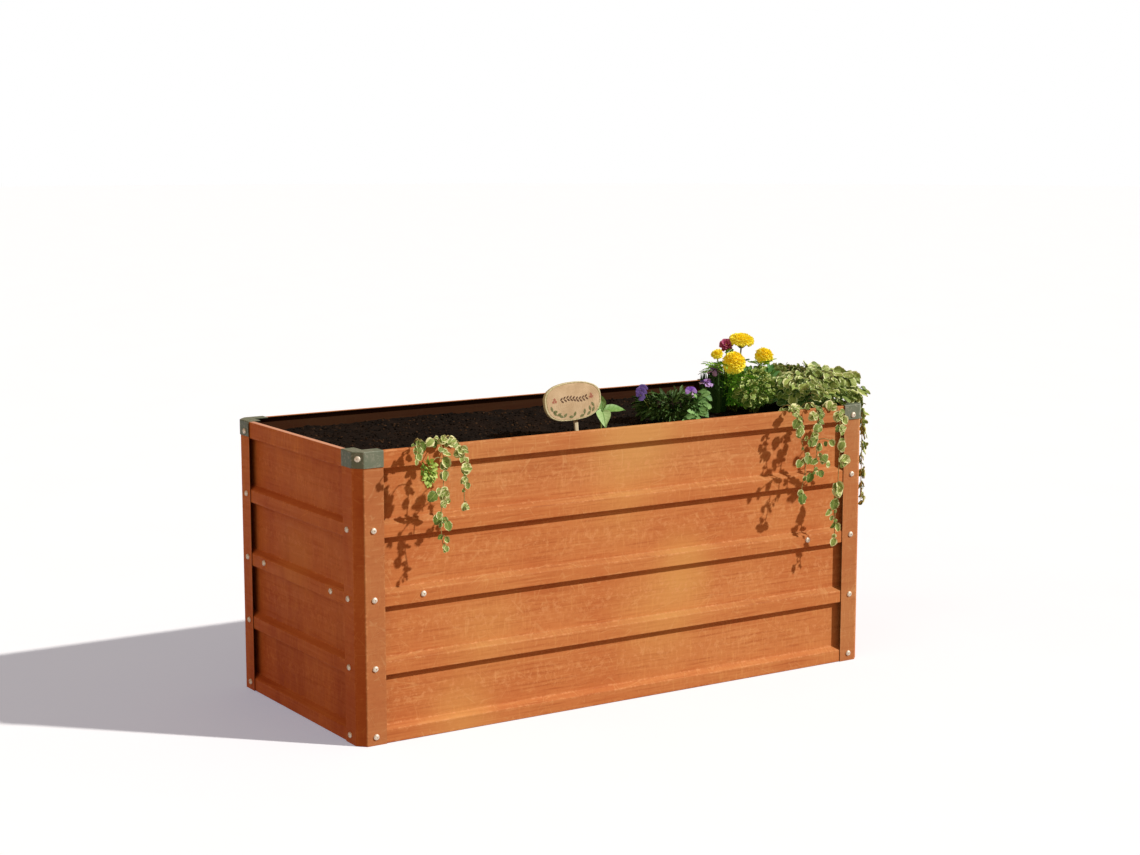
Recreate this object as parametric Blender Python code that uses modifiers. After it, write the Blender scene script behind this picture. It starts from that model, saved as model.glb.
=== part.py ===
"""Planted raised bed: a ribbed sheet-steel planter filled with soil, its plants and a sign.

The origin is the centre of the base. +X runs along the length, +Z is up and the front faces -Y.
"""

import math
import random

import bmesh
import bpy
from mathutils import Matrix, Vector, noise

# Overall size over the outer faces of the corner posts, in metres
LENGTH = 1.200
WIDTH = 0.520
HEIGHT = 0.550

# Sheet metal
SHEET = 0.0012            # panels, posts and caps
GAP = 0.0003              # clearance between parts that touch
RIB_COUNT = 5             # raised ribs on each wall
RIB_HEIGHT = 0.033
RIB_DEPTH = 0.012         # how far the bands between the ribs lie back
RIB_SLOPE = 0.008         # height of the sloped step on top of a rib
HEM = 0.011               # folded-in edge at the top and the bottom of a panel
PANEL_INSET = SHEET + GAP
RIB_PITCH = (HEIGHT - RIB_HEIGHT) / (RIB_COUNT - 1)

# Corner posts and their caps
CHAMFER = 0.016           # leg of the 45 degree face
FLANGE = 0.040
POST_REACH = CHAMFER + FLANGE
CAP_HEIGHT = 0.031
CAP_PLATE = 0.025         # how far the top plate reaches inwards
CAP_EDGE = 0.002          # rounded edge of the cap
POST_TOP = HEIGHT - CAP_EDGE

# Diagonal braces inside the corners, bolted into the middle rib
BRACE_THICK = 0.002
BRACE_HEIGHT = 0.020
BRACE_TAB = 0.028
BRACE_LEFT_LEG = 0.137    # along the front and back walls, from the left corners
BRACE_RIGHT_LEG = 0.149
BRACE_SIDE_LEG = 0.1125   # along the two short walls
BRACE_RISE = 0.0035       # above the lower edge of the rib

# Pan-head bolts with their nuts, M6
BOLT_RADIUS = 0.003
HEAD_RADIUS = 0.0059
HEAD_HEIGHT = 0.0033
NUT_RADIUS = 0.0058
NUT_HEIGHT = 0.005
BOLT_TIP = 0.0015
CAP_BOLT_LONG = 0.034     # bolt's distance from the corner on a long wall
CAP_BOLT_SHORT = 0.039    # and on a short wall
CAP_BOLT_Z = 0.530
CHAMFER_BOLT_Z = 0.538

# Soil
SOIL_CLEARANCE = 0.0150   # soil's side from the posts' outer faces
SOIL_LEVEL = 0.522
SOIL_ROUGHNESS = 0.004
SOIL_CELLS = (32, 14)
STEM_CLEARANCE = 0.0007   # around a stem where it passes through soil or foliage

# Sign
SIGN_PLACE = (-0.062, -0.150)
SIGN_CENTRE_Z = 0.5925
SIGN_WIDTH = 0.134
SIGN_HEIGHT = 0.077
SIGN_ROUND = 0.78         # 1 is an ellipse, less is squarer
SIGN_THICK = 0.008
STAKE_WIDTH = 0.011
STAKE_SHIFT = 0.0087      # to the right of the board's middle
STAKE_THICK = 0.005
STAKE_DEPTH = 0.070       # part of the stake below the soil
SIGN_LEAN = math.radians(5)
SIGN_ROLL = math.radians(-3)

HALF_LENGTH = LENGTH / 2
HALF_WIDTH = WIDTH / 2
CORNERS = {
    "front_left": (-1, -1, 0),
    "front_right": (1, -1, 90),
    "back_right": (1, 1, 180),
    "back_left": (-1, 1, 270),
}

COLOURS = {
    "steel": ((0.55, 0.23, 0.09), 0.45, 0.3),
    "cap": ((0.16, 0.19, 0.17), 0.5, 0.4),
    "bolt": ((0.75, 0.75, 0.74), 0.25, 1.0),
    "brace": ((0.45, 0.45, 0.44), 0.4, 1.0),
    "soil": ((0.03, 0.02, 0.015), 0.95, 0.0),
    "board": ((0.62, 0.45, 0.27), 0.7, 0.0),
    "stake": ((0.60, 0.48, 0.32), 0.7, 0.0),
    "leaf": ((0.07, 0.20, 0.05), 0.5, 0.0),
    "dark_leaf": ((0.03, 0.10, 0.04), 0.5, 0.0),
    "cream_leaf": ((0.34, 0.44, 0.18), 0.5, 0.0),
    "stem": ((0.22, 0.26, 0.10), 0.6, 0.0),
    "yellow": ((0.90, 0.68, 0.02), 0.6, 0.0),
    "purple": ((0.25, 0.10, 0.45), 0.6, 0.0),
    "pink": ((0.42, 0.10, 0.22), 0.6, 0.0),
}

# Stems of the plants: a radius and the points that the stem passes, from the root upwards
MARIGOLD_STEMS = {
    "marigold_1": (0.0018, [(0.400, -0.075, 0.500), (0.398, -0.080, 0.560), (0.384, -0.087, 0.605),
                            (0.383, -0.088, 0.612)]),
    "marigold_2": (0.0018, [(0.412, -0.066, 0.500), (0.416, -0.058, 0.570), (0.460, -0.011, 0.646),
                            (0.460, -0.012, 0.655)]),
    "marigold_3": (0.0018, [(0.424, -0.078, 0.500), (0.429, -0.076, 0.575), (0.452, -0.072, 0.610),
                            (0.472, -0.067, 0.622), (0.474, -0.069, 0.630)]),
    "marigold_4": (0.0015, [(0.392, -0.058, 0.500), (0.388, -0.050, 0.570), (0.388, -0.022, 0.638)]),
    "cosmos": (0.0012, [(0.405, -0.048, 0.500), (0.406, -0.040, 0.570), (0.429, 0.004, 0.651)]),
}
BLOOMS = {
    "marigold_1": (0.0262, 0.049),
    "marigold_2": (0.0270, 0.032),
    "marigold_3": (0.0215, 0.032),
    "marigold_4": (0.0135, 0.021),
    "cosmos": (0.0118, 0.010),
}

# Foliage masses: colour, then the centre and half sizes of each lump; the first holds the crown
FOLIAGE = {
    "viola_leaves": ("dark_leaf", [((0.208, -0.106, 0.5575), (0.073, 0.064, 0.0215))]),
    "iris_leaves": ("dark_leaf", [((0.352, -0.053, 0.570), (0.018, 0.025, 0.037))]),
    "marigold_leaves": ("leaf", [((0.414, -0.085, 0.572), (0.041, 0.064, 0.034))]),
    "plectranthus_leaves": ("cream_leaf", [((0.520, -0.100, 0.577), (0.054, 0.130, 0.039)),
                                           ((0.584, -0.095, 0.592), (0.062, 0.140, 0.033))]),
}
CROWN_RADIUS = 0.008
CROWN_DEPTH = 0.500

# Small flowers on their stalks: place of the flower, radius, and the stalk's lower end
SMALL_FLOWERS = {
    "viola_flower_1": ((0.128, -0.113, 0.593), 0.013, (0.156, -0.106, 0.558)),
    "viola_flower_2": ((0.243, -0.128, 0.591), 0.013, (0.236, -0.116, 0.558)),
    "iris_flower_1": ((0.313, -0.085, 0.596), 0.012, (0.343, -0.057, 0.562)),
    "iris_flower_2": ((0.351, -0.062, 0.619), 0.012, (0.350, -0.054, 0.575)),
}

# Trailing stems: points from the root, over the rim and down, then leaf spacing and leaf length
VINES = {
    "trailing_stem_front_1": ([(-0.436, -0.205, 0.500), (-0.436, -0.215, 0.540), (-0.434, -0.250, 0.562),
                               (-0.436, -0.284, 0.552), (-0.438, -0.294, 0.515), (-0.441, -0.296, 0.460),
                               (-0.446, -0.295, 0.415), (-0.441, -0.294, 0.372)], 0.018, 0.020),
    "trailing_stem_front_2": ([(-0.404, -0.208, 0.500), (-0.404, -0.218, 0.540), (-0.405, -0.250, 0.563),
                               (-0.400, -0.284, 0.556), (-0.392, -0.292, 0.520), (-0.394, -0.293, 0.480),
                               (-0.394, -0.293, 0.438)], 0.020, 0.021),
    "trailing_stem_front_3": ([(-0.462, -0.208, 0.500), (-0.463, -0.220, 0.540), (-0.470, -0.248, 0.563),
                               (-0.482, -0.280, 0.558), (-0.496, -0.291, 0.548)], 0.016, 0.018),
    "trailing_stem_front_4": ([(0.398, -0.212, 0.500), (0.397, -0.222, 0.541), (0.394, -0.252, 0.562),
                               (0.390, -0.284, 0.552), (0.398, -0.296, 0.500), (0.412, -0.297, 0.450),
                               (0.404, -0.296, 0.400), (0.396, -0.295, 0.372)], 0.018, 0.021),
    "trailing_stem_front_5": ([(0.452, -0.212, 0.500), (0.452, -0.222, 0.541), (0.450, -0.252, 0.563),
                               (0.447, -0.285, 0.553), (0.440, -0.297, 0.500), (0.437, -0.299, 0.455),
                               (0.430, -0.297, 0.415)], 0.017, 0.022),
    "trailing_stem_front_6": ([(0.506, -0.212, 0.500), (0.506, -0.222, 0.541), (0.505, -0.252, 0.562),
                               (0.504, -0.284, 0.552), (0.503, -0.296, 0.500), (0.499, -0.298, 0.440),
                               (0.497, -0.297, 0.380), (0.491, -0.297, 0.320), (0.493, -0.296, 0.265)],
                              0.022, 0.021),
    "trailing_stem_side_1": ([(0.556, -0.236, 0.500), (0.561, -0.234, 0.541), (0.594, -0.222, 0.563),
                              (0.624, -0.212, 0.555), (0.634, -0.210, 0.510), (0.634, -0.212, 0.460),
                              (0.633, -0.213, 0.400), (0.631, -0.214, 0.335)], 0.021, 0.021),
    "trailing_stem_side_2": ([(0.556, -0.150, 0.500), (0.561, -0.148, 0.537), (0.590, -0.142, 0.556),
                              (0.624, -0.138, 0.549), (0.636, -0.136, 0.500), (0.636, -0.137, 0.445),
                              (0.633, -0.138, 0.390)], 0.022, 0.020),
}
VINE_RADIUS = 0.0011
VINE_LEAF_WIDTH = 0.78    # of its length
VINE_LEAF_THICK = 0.0014
BARE_LENGTH = 0.085       # stretch of a trailing stem without leaves, from the root

# Seedling beside the sign: stem, then each leaf's heading, rise at its base and roll in degrees,
# its droop as a share of its length, its length and its width
SEEDLING_ROUTE = [(0.010, -0.142, 0.500), (0.010, -0.142, 0.540), (0.012, -0.142, 0.566)]
SEEDLING_RADIUS = 0.002
SEEDLING_LEAVES = {
    "seedling_leaf_1": (-112, 6, 0, 1.05, 0.036, 0.028),
    "seedling_leaf_2": (-18, 24, 42, 0.70, 0.058, 0.023),
    "seedling_leaf_3": (60, 58, -10, 0.10, 0.036, 0.019),
}
SEEDLING_LEAF_THICK = 0.0012


# ---------------------------------------------------------------- scene and object helpers

def clear_scene():
    for item in list(bpy.data.objects):
        bpy.data.objects.remove(item, do_unlink=True)


def new_collection(name):
    collection = bpy.data.collections.new(name)
    bpy.context.scene.collection.children.link(collection)
    return collection


def make_material(name, look):
    colour, roughness, metallic = look
    material = bpy.data.materials.new(name)
    material.use_nodes = True
    shader = material.node_tree.nodes["Principled BSDF"]
    shader.inputs["Base Color"].default_value = (*colour, 1.0)
    shader.inputs["Roughness"].default_value = roughness
    shader.inputs["Metallic"].default_value = metallic
    material.diffuse_color = (*colour, 1.0)
    return material


def add_part(name, mesh, look, location=(0, 0, 0), turn=0.0):
    """Link a named part with a material of its own."""
    part = bpy.data.objects.new(name, mesh)
    part.location = location
    part.rotation_euler.z = math.radians(turn)
    if not mesh.materials:
        mesh.materials.append(make_material(name, COLOURS[look]))
    else:
        part.material_slots[0].link = "OBJECT"
        part.material_slots[0].material = make_material(name, COLOURS[look])
    PARTS.objects.link(part)
    return part


def add_cutter(name, mesh, location=(0, 0, 0)):
    cutter = bpy.data.objects.new(name, mesh)
    cutter.location = location
    cutter.hide_render = True
    cutter.display_type = "WIRE"
    CUTTERS.objects.link(cutter)
    return cutter


def finish_mesh(name, bm):
    mesh = bpy.data.meshes.new(name)
    bm.normal_update()
    bm.to_mesh(mesh)
    bm.free()
    return mesh


def combine(part, other, operation):
    modifier = part.modifiers.new(f"{operation.lower()}_{other.name}", "BOOLEAN")
    modifier.operation = operation
    modifier.object = other
    return modifier


def thicken(part, thickness, offset=-1.0):
    modifier = part.modifiers.new("thickness", "SOLIDIFY")
    modifier.thickness = thickness
    modifier.offset = offset
    modifier.use_even_offset = True


def baked_mesh(source, name):
    """Evaluated mesh of an object, in world space, welded."""
    graph = bpy.context.evaluated_depsgraph_get()
    mesh = bpy.data.meshes.new_from_object(source.evaluated_get(graph))
    mesh.name = name
    mesh.transform(source.matrix_world)
    bm = bmesh.new()
    bm.from_mesh(mesh)
    bmesh.ops.remove_doubles(bm, verts=bm.verts, dist=0.000001)
    bm.to_mesh(mesh)
    bm.free()
    return mesh


# ---------------------------------------------------------------- sheet metal

def sheet_along_x(profile, length):
    """Open sheet with the (depth, z) profile, seen from its outer side at -Y."""
    bm = bmesh.new()
    left = [bm.verts.new((-length / 2, depth, z)) for depth, z in profile]
    right = [bm.verts.new((length / 2, depth, z)) for depth, z in profile]
    for upper in range(len(profile) - 1):
        bm.faces.new((left[upper], left[upper + 1], right[upper + 1], right[upper]))
    return bm


def sheet_upright(path, bottom, top):
    """Open sheet that stands on a path of (x, y) points, with its outer side on the right."""
    bm = bmesh.new()
    low = [bm.verts.new((x, y, bottom)) for x, y in path]
    high = [bm.verts.new((x, y, top)) for x, y in path]
    for here in range(len(path) - 1):
        bm.faces.new((low[here], low[here + 1], high[here + 1], high[here]))
    return bm


def panel_profile():
    """Depth behind the rib faces against height, from the top hem down to the bottom hem."""
    profile = [(HEM, HEIGHT), (0.0, HEIGHT)]
    for rib in reversed(range(RIB_COUNT)):
        foot = rib * RIB_PITCH
        if rib < RIB_COUNT - 1:
            profile.append((RIB_DEPTH, foot + RIB_HEIGHT))
            profile.append((0.0, foot + RIB_HEIGHT - RIB_SLOPE))
        profile.append((0.0, foot))
        if rib > 0:
            profile.append((RIB_DEPTH, foot))
    profile.append((HEM, 0.0))
    return profile


def build_panels():
    ends = CHAMFER + 2 * GAP
    walls = {
        "front_panel": (LENGTH - 2 * ends, (0, -HALF_WIDTH + PANEL_INSET), 0),
        "right_panel": (WIDTH - 2 * ends, (HALF_LENGTH - PANEL_INSET, 0), 90),
        "back_panel": (LENGTH - 2 * ends, (0, HALF_WIDTH - PANEL_INSET), 180),
        "left_panel": (WIDTH - 2 * ends, (-HALF_LENGTH + PANEL_INSET, 0), 270),
    }
    panels = {}
    for name, (length, place, turn) in walls.items():
        mesh = finish_mesh(name, sheet_along_x(panel_profile(), length))
        panels[name] = add_part(name, mesh, "steel", (*place, 0), turn)
        thicken(panels[name], SHEET)
    return panels


def corner_place(side_x, side_y):
    return (side_x * HALF_LENGTH, side_y * HALF_WIDTH, 0)


def corner_path(proud):
    """Plan of a corner in its own frame: flange, 45 degree face, flange, set out by proud."""
    bend = CHAMFER - proud * (math.sqrt(2) - 1)
    return [(-proud, POST_REACH), (-proud, bend), (bend, -proud), (POST_REACH, -proud)]


def build_posts():
    posts = {}
    for corner, (side_x, side_y, turn) in CORNERS.items():
        name = f"corner_post_{corner}"
        mesh = finish_mesh(name, sheet_upright(corner_path(0.0), 0.0, POST_TOP))
        posts[corner] = add_part(name, mesh, "steel", corner_place(side_x, side_y), turn)
        thicken(posts[corner], SHEET)
    return posts


def cap_mesh():
    """Open shell of a cap: an L-shaped plate with a skirt down its outer edge."""
    top = HEIGHT + GAP + SHEET
    outer = corner_path(GAP + SHEET)
    inner = [(POST_REACH, CAP_PLATE), (CAP_PLATE, CAP_PLATE), (CAP_PLATE, POST_REACH)]
    bm = bmesh.new()
    rim = [bm.verts.new((x, y, top)) for x, y in outer]
    foot = [bm.verts.new((x, y, top - CAP_HEIGHT)) for x, y in outer]
    bm.faces.new(rim + [bm.verts.new((x, y, top)) for x, y in inner])
    for here in range(len(outer) - 1):
        bm.faces.new((rim[here], foot[here], foot[here + 1], rim[here + 1]))
    plate_edges = [edge for edge in bm.edges if len(edge.link_faces) == 2
                   and all(vert.co.z == rim[0].co.z for vert in edge.verts)]
    bmesh.ops.bevel(bm, geom=plate_edges, offset=CAP_EDGE, segments=2, profile=0.5, affect="EDGES")
    return finish_mesh("corner_cap", bm)


def build_caps():
    caps = {}
    shell = cap_mesh()
    for corner, (side_x, side_y, turn) in CORNERS.items():
        place = corner_place(side_x, side_y)
        caps[corner] = add_part(f"corner_cap_{corner}", shell.copy(), "cap", place, turn)
        thicken(caps[corner], SHEET)
    return caps


def brace_path(side_x, side_y):
    """Plan of a brace: a tab on the long wall, the diagonal, and a tab on the short wall."""
    depth = PANEL_INSET + SHEET + GAP + BRACE_THICK / 2
    leg = BRACE_LEFT_LEG if side_x < 0 else BRACE_RIGHT_LEG
    half = BRACE_TAB / 2
    steps = [(leg + half, depth), (leg - half, depth),
             (depth, BRACE_SIDE_LEG - half), (depth, BRACE_SIDE_LEG + half)]
    return [(side_x * (HALF_LENGTH - along), side_y * (HALF_WIDTH - across)) for along, across in steps]


def build_braces(soil):
    """Corner braces in the middle rib, and the channels that they leave in the soil."""
    bottom = (RIB_COUNT // 2) * RIB_PITCH + BRACE_RISE
    top = bottom + BRACE_HEIGHT
    for corner, (side_x, side_y, _) in CORNERS.items():
        name = f"corner_brace_{corner}"
        path = brace_path(side_x, side_y)
        brace = add_part(name, finish_mesh(name, sheet_upright(path, bottom, top)), "brace")
        thicken(brace, BRACE_THICK, offset=0.0)
        channel_sheet = sheet_upright(path, bottom - 2 * GAP, top + 2 * GAP)
        channel = add_cutter(f"{name}_channel", finish_mesh(f"{name}_channel", channel_sheet))
        thicken(channel, BRACE_THICK + 4 * GAP, offset=0.0)
        combine(soil, channel, "DIFFERENCE")


# ---------------------------------------------------------------- bolts

def bolt_mesh():
    """Pan-head bolt along Z, head upwards, seated at z = 0, with its nut below the sheets."""
    grip = 3 * SHEET + 3 * GAP
    dome = [(HEAD_RADIUS * math.sin(a), GAP + HEAD_HEIGHT * math.cos(a)) for a in
            (math.radians(step * 22.5) for step in range(5))]
    tip = -(grip + GAP + NUT_HEIGHT + BOLT_TIP)
    profile = dome + [(BOLT_RADIUS, GAP), (BOLT_RADIUS, tip), (0.0, tip)]
    bm = bmesh.new()
    points = [bm.verts.new((radius, 0.0, height)) for radius, height in profile]
    for upper, lower in zip(points, points[1:]):
        bm.edges.new((upper, lower))
    bolt = add_cutter("bolt_turning", finish_mesh("bolt_turning", bm))
    turning = bolt.modifiers.new("turning", "SCREW")
    turning.steps = 16
    turning.render_steps = 16
    turning.use_merge_vertices = True
    turning.merge_threshold = 0.00005
    bm = bmesh.new()
    seat = -(grip + GAP + NUT_HEIGHT / 2)
    bmesh.ops.create_cone(bm, cap_ends=True, segments=6, radius1=NUT_RADIUS, radius2=NUT_RADIUS,
                          depth=NUT_HEIGHT, matrix=Matrix.Translation((0, 0, seat)))
    nut = add_cutter("nut_blank", finish_mesh("nut_blank", bm))
    combine(bolt, nut, "UNION")
    mesh = baked_mesh(bolt, "cap_bolt")
    bpy.data.objects.remove(bolt, do_unlink=True)
    bpy.data.objects.remove(nut, do_unlink=True)
    return mesh


def cap_bolt_places():
    """Name, corner, wall, seat and outward direction of each bolt through a cap."""
    seat = GAP + SHEET
    diagonal = CHAMFER / 2 - seat / math.sqrt(2)
    half = math.sqrt(0.5)
    yield ("cap_bolt_front_left", "front_left", None,
           (-HALF_LENGTH + diagonal, -HALF_WIDTH + diagonal, CHAMFER_BOLT_Z), (-half, -half, 0))
    for corner, (side_x, side_y, _) in CORNERS.items():
        if corner == "front_left":
            continue
        long_wall = "front" if side_y < 0 else "back"
        short_wall = "left" if side_x < 0 else "right"
        yield (f"cap_bolt_{corner}_on_{long_wall}", corner, f"{long_wall}_panel",
               (side_x * (HALF_LENGTH - CAP_BOLT_LONG), side_y * (HALF_WIDTH + seat), CAP_BOLT_Z),
               (0, side_y, 0))
        yield (f"cap_bolt_{corner}_on_{short_wall}", corner, f"{short_wall}_panel",
               (side_x * (HALF_LENGTH + seat), side_y * (HALF_WIDTH - CAP_BOLT_SHORT), CAP_BOLT_Z),
               (side_x, 0, 0))


def build_cap_bolts(panels, posts, caps):
    """Seven bolts, with a hole for each through cap, post and panel."""
    blank = bolt_mesh()
    reach = 0.012
    for name, corner, wall, seat, outward in cap_bolt_places():
        aim = Vector(outward).to_track_quat("Z", "Y")
        bolt = add_part(name, blank.copy(), "bolt", seat)
        bolt.rotation_euler = aim.to_euler()
        bm = bmesh.new()
        bmesh.ops.create_cone(bm, cap_ends=True, segments=16, radius1=BOLT_RADIUS + GAP,
                              radius2=BOLT_RADIUS + GAP, depth=reach)
        hole = add_cutter(f"{name}_hole", finish_mesh(f"{name}_hole", bm), seat)
        hole.rotation_euler = aim.to_euler()
        combine(caps[corner], hole, "DIFFERENCE")
        combine(posts[corner], hole, "DIFFERENCE")
        if wall:
            combine(panels[wall], hole, "DIFFERENCE")


# ---------------------------------------------------------------- soil

def soil_height(x, y):
    """Height of the soil's surface: level, crumbly, and drawn up round the plants."""
    swell = 0.0
    for _, lumps in FOLIAGE.values():
        (plant_x, plant_y, _), (half_x, half_y, _) = lumps[0]
        away = ((x - plant_x) / (half_x + 0.05)) ** 2 + ((y - plant_y) / (half_y + 0.05)) ** 2
        swell = max(swell, math.exp(-away))
    coarse = noise.noise(Vector((x * 14, y * 14, 3.0)))
    fine = noise.noise(Vector((x * 37, y * 37, 8.0)))
    return SOIL_LEVEL + 0.008 * swell + SOIL_ROUGHNESS * (coarse + 0.5 * fine)


def build_soil():
    half_x = HALF_LENGTH - SOIL_CLEARANCE
    half_y = HALF_WIDTH - SOIL_CLEARANCE
    bm = bmesh.new()
    bmesh.ops.create_grid(bm, x_segments=SOIL_CELLS[0], y_segments=SOIL_CELLS[1], size=1.0)
    for vert in bm.verts:
        x, y = vert.co.x * half_x, vert.co.y * half_y
        vert.co = (x, y, soil_height(x, y))
    border = [edge for edge in bm.edges if edge.is_boundary]
    skirt = bmesh.ops.extrude_edge_only(bm, edges=border)["geom"]
    for item in skirt:
        if isinstance(item, bmesh.types.BMVert):
            item.co.z = 0.0
    base = [edge for edge in bm.edges if edge.is_boundary]
    bmesh.ops.contextual_create(bm, geom=base)
    bmesh.ops.recalc_face_normals(bm, faces=bm.faces)
    return add_part("soil", finish_mesh("soil", bm), "soil")


# ---------------------------------------------------------------- stems and leaves

def smooth_route(points, steps):
    """Points on a Catmull-Rom curve through the given points."""
    knots = [Vector(point) for point in points]
    knots = [2 * knots[0] - knots[1]] + knots + [2 * knots[-1] - knots[-2]]
    route = []
    for before, start, end, after in zip(knots, knots[1:], knots[2:], knots[3:]):
        for step in range(steps):
            t = step / steps
            route.append(0.5 * (2 * start + (end - before) * t
                                + (2 * before - 5 * start + 4 * end - after) * t ** 2
                                + (3 * start - before - 3 * end + after) * t ** 3))
    route.append(knots[-2])
    return route


def tube_mesh(name, route, radius):
    """Closed tube along a route."""
    curve = bpy.data.curves.new(name, "CURVE")
    curve.dimensions = "3D"
    curve.bevel_depth = radius
    curve.bevel_resolution = 1
    curve.use_fill_caps = True
    curve.render_resolution_u = 0
    spline = curve.splines.new("POLY")
    spline.points.add(len(route) - 1)
    for point, place in zip(spline.points, route):
        point.co = (*place, 1.0)
    holder = bpy.data.objects.new(name, curve)
    CUTTERS.objects.link(holder)
    mesh = baked_mesh(holder, name)
    bpy.data.objects.remove(holder, do_unlink=True)
    return mesh


def leaf_outline(length, width, points=4):
    """Half widths along a pointed leaf, from its base to its tip."""
    stations = [step / points for step in range(points + 1)]
    return [(length * t, width / 2 * math.sin(math.pi * t ** 0.8) ** 0.8 + 0.0005) for t in stations]


def leaf_mesh(name, length, width, thickness, droop=0.25):
    """Flat closed leaf along +Y with its upper side to +Z, bending down towards the tip."""
    bm = bmesh.new()
    outline = leaf_outline(length, width)
    right = [bm.verts.new((half, along, -droop * along ** 2 / length)) for along, half in outline]
    left = [bm.verts.new((-half, along, -droop * along ** 2 / length)) for along, half in outline]
    for here in range(len(outline) - 1):
        bm.faces.new((left[here], right[here], right[here + 1], left[here + 1]))
    solid = bmesh.ops.extrude_face_region(bm, geom=list(bm.faces))["geom"]
    lower = [item for item in solid if isinstance(item, bmesh.types.BMVert)]
    bmesh.ops.translate(bm, verts=lower, vec=(0, 0, -thickness))
    bmesh.ops.recalc_face_normals(bm, faces=bm.faces)
    return finish_mesh(name, bm)


def leaf_aim(heading, droop, roll=0.0):
    """Rotation of a leaf: compass heading of its tip, droop below level, and roll on its axis."""
    return (Matrix.Rotation(heading - math.pi / 2, 4, "Z") @ Matrix.Rotation(-droop, 4, "X")
            @ Matrix.Rotation(roll, 4, "Y"))


def vine_leaves(name, route, spacing, length, outward):
    """All leaves of one trailing stem in one mesh, alternately to the left and the right."""
    chance = random.Random(name)
    bm = bmesh.new()
    travelled = 0.0
    due = BARE_LENGTH
    side = 1
    for start, end in zip(route, route[1:]):
        travelled += (end - start).length
        if travelled < due:
            continue
        due += spacing
        side = -side
        heading = outward + side * math.radians(chance.uniform(35, 70))
        droop = math.radians(chance.uniform(15, 55))
        size = length * chance.uniform(0.75, 1.0)
        blade = leaf_mesh("blade", size, size * VINE_LEAF_WIDTH, VINE_LEAF_THICK)
        blade.transform(Matrix.Translation(end) @ leaf_aim(heading, droop, side * 0.25))
        bm.from_mesh(blade)
        bpy.data.meshes.remove(blade)
    return finish_mesh(f"{name}_leaves", bm)


def passage(name, route, radius, *targets):
    """Cut a stem's way through soil or foliage."""
    first = route[0] + (route[0] - route[1]).normalized() * 0.001
    bore = tube_mesh(f"{name}_passage", [first] + route, radius + STEM_CLEARANCE)
    cutter = add_cutter(f"{name}_passage", bore)
    for target in targets:
        combine(target, cutter, "DIFFERENCE")


def build_vines(soil, foliage):
    for name, (points, spacing, length) in VINES.items():
        route = smooth_route(points, 2)
        outward = math.radians(0 if "side" in name else -90)
        vine = add_part(name, tube_mesh(name, route, VINE_RADIUS), "cream_leaf")
        leaves = add_cutter(f"{name}_leaves", vine_leaves(name, route, spacing, length, outward))
        combine(vine, leaves, "UNION").use_self = True
        passage(name, route, VINE_RADIUS, soil)


# ---------------------------------------------------------------- plants

def foliage_mesh(name, centre, half_sizes):
    """Closed lumpy mass of leaves, fuller at its shoulders than an ellipsoid."""
    bm = bmesh.new()
    bmesh.ops.create_icosphere(bm, subdivisions=3, radius=1.0)
    for vert in bm.verts:
        fullness = sum(abs(part) ** 3 for part in vert.co) ** (-1 / 3)
        lump = fullness * (0.96 + 0.07 * noise.noise(vert.co * 2.6 + Vector(centre) * 30))
        vert.co = [centre[axis] + half_sizes[axis] * vert.co[axis] * lump for axis in range(3)]
    return finish_mesh(name, bm)


def build_foliage(soil):
    """Foliage masses, each with a root crown that stands in the soil."""
    masses = {}
    for name, (look, lumps) in FOLIAGE.items():
        centre = lumps[0][0]
        mass = add_part(name, foliage_mesh(name, *lumps[0]), look)
        for order, lump in enumerate(lumps[1:]):
            more = f"{name}_lump_{order + 2}"
            combine(mass, add_cutter(more, foliage_mesh(more, *lump)), "UNION")
        root = [Vector((centre[0], centre[1], CROWN_DEPTH)), Vector(centre)]
        combine(mass, add_cutter(f"{name}_crown", tube_mesh(name, root, CROWN_RADIUS)), "UNION")
        passage(name, root, CROWN_RADIUS, soil)
        masses[name] = mass
    return masses


def bloom_mesh(name, radius, height):
    """Turned flower head: a narrow cup below and a domed ruff of petals above."""
    profile = [(0.0, height), (0.45 * radius, 0.94 * height), (0.80 * radius, 0.74 * height),
               (radius, 0.42 * height), (0.85 * radius, 0.24 * height), (0.30 * radius, 0.10 * height),
               (0.20 * radius, 0.0), (0.0, 0.0)]
    bm = bmesh.new()
    points = [bm.verts.new((across, 0.0, up)) for across, up in profile]
    for upper, lower in zip(points, points[1:]):
        bm.edges.new((upper, lower))
    holder = add_cutter(name, finish_mesh(name, bm))
    turning = holder.modifiers.new("turning", "SCREW")
    turning.steps = 16
    turning.render_steps = 16
    turning.use_merge_vertices = True
    turning.merge_threshold = 0.00005
    mesh = baked_mesh(holder, name)
    bpy.data.objects.remove(holder, do_unlink=True)
    return mesh


def build_marigolds(soil, masses):
    for name, (radius, points) in MARIGOLD_STEMS.items():
        route = smooth_route(points, 4)
        add_part(f"{name}_stem", tube_mesh(name, route, radius), "stem")
        passage(name, route, radius, soil, masses["marigold_leaves"])
        look = "pink" if name == "cosmos" else "yellow"
        aim = (route[-1] - route[-2]).normalized()
        head = add_part(f"{name}_bloom", bloom_mesh(name, *BLOOMS[name]), look)
        head.location = route[-1] + aim * GAP
        head.rotation_euler = aim.to_track_quat("Z", "Y").to_euler()


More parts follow.
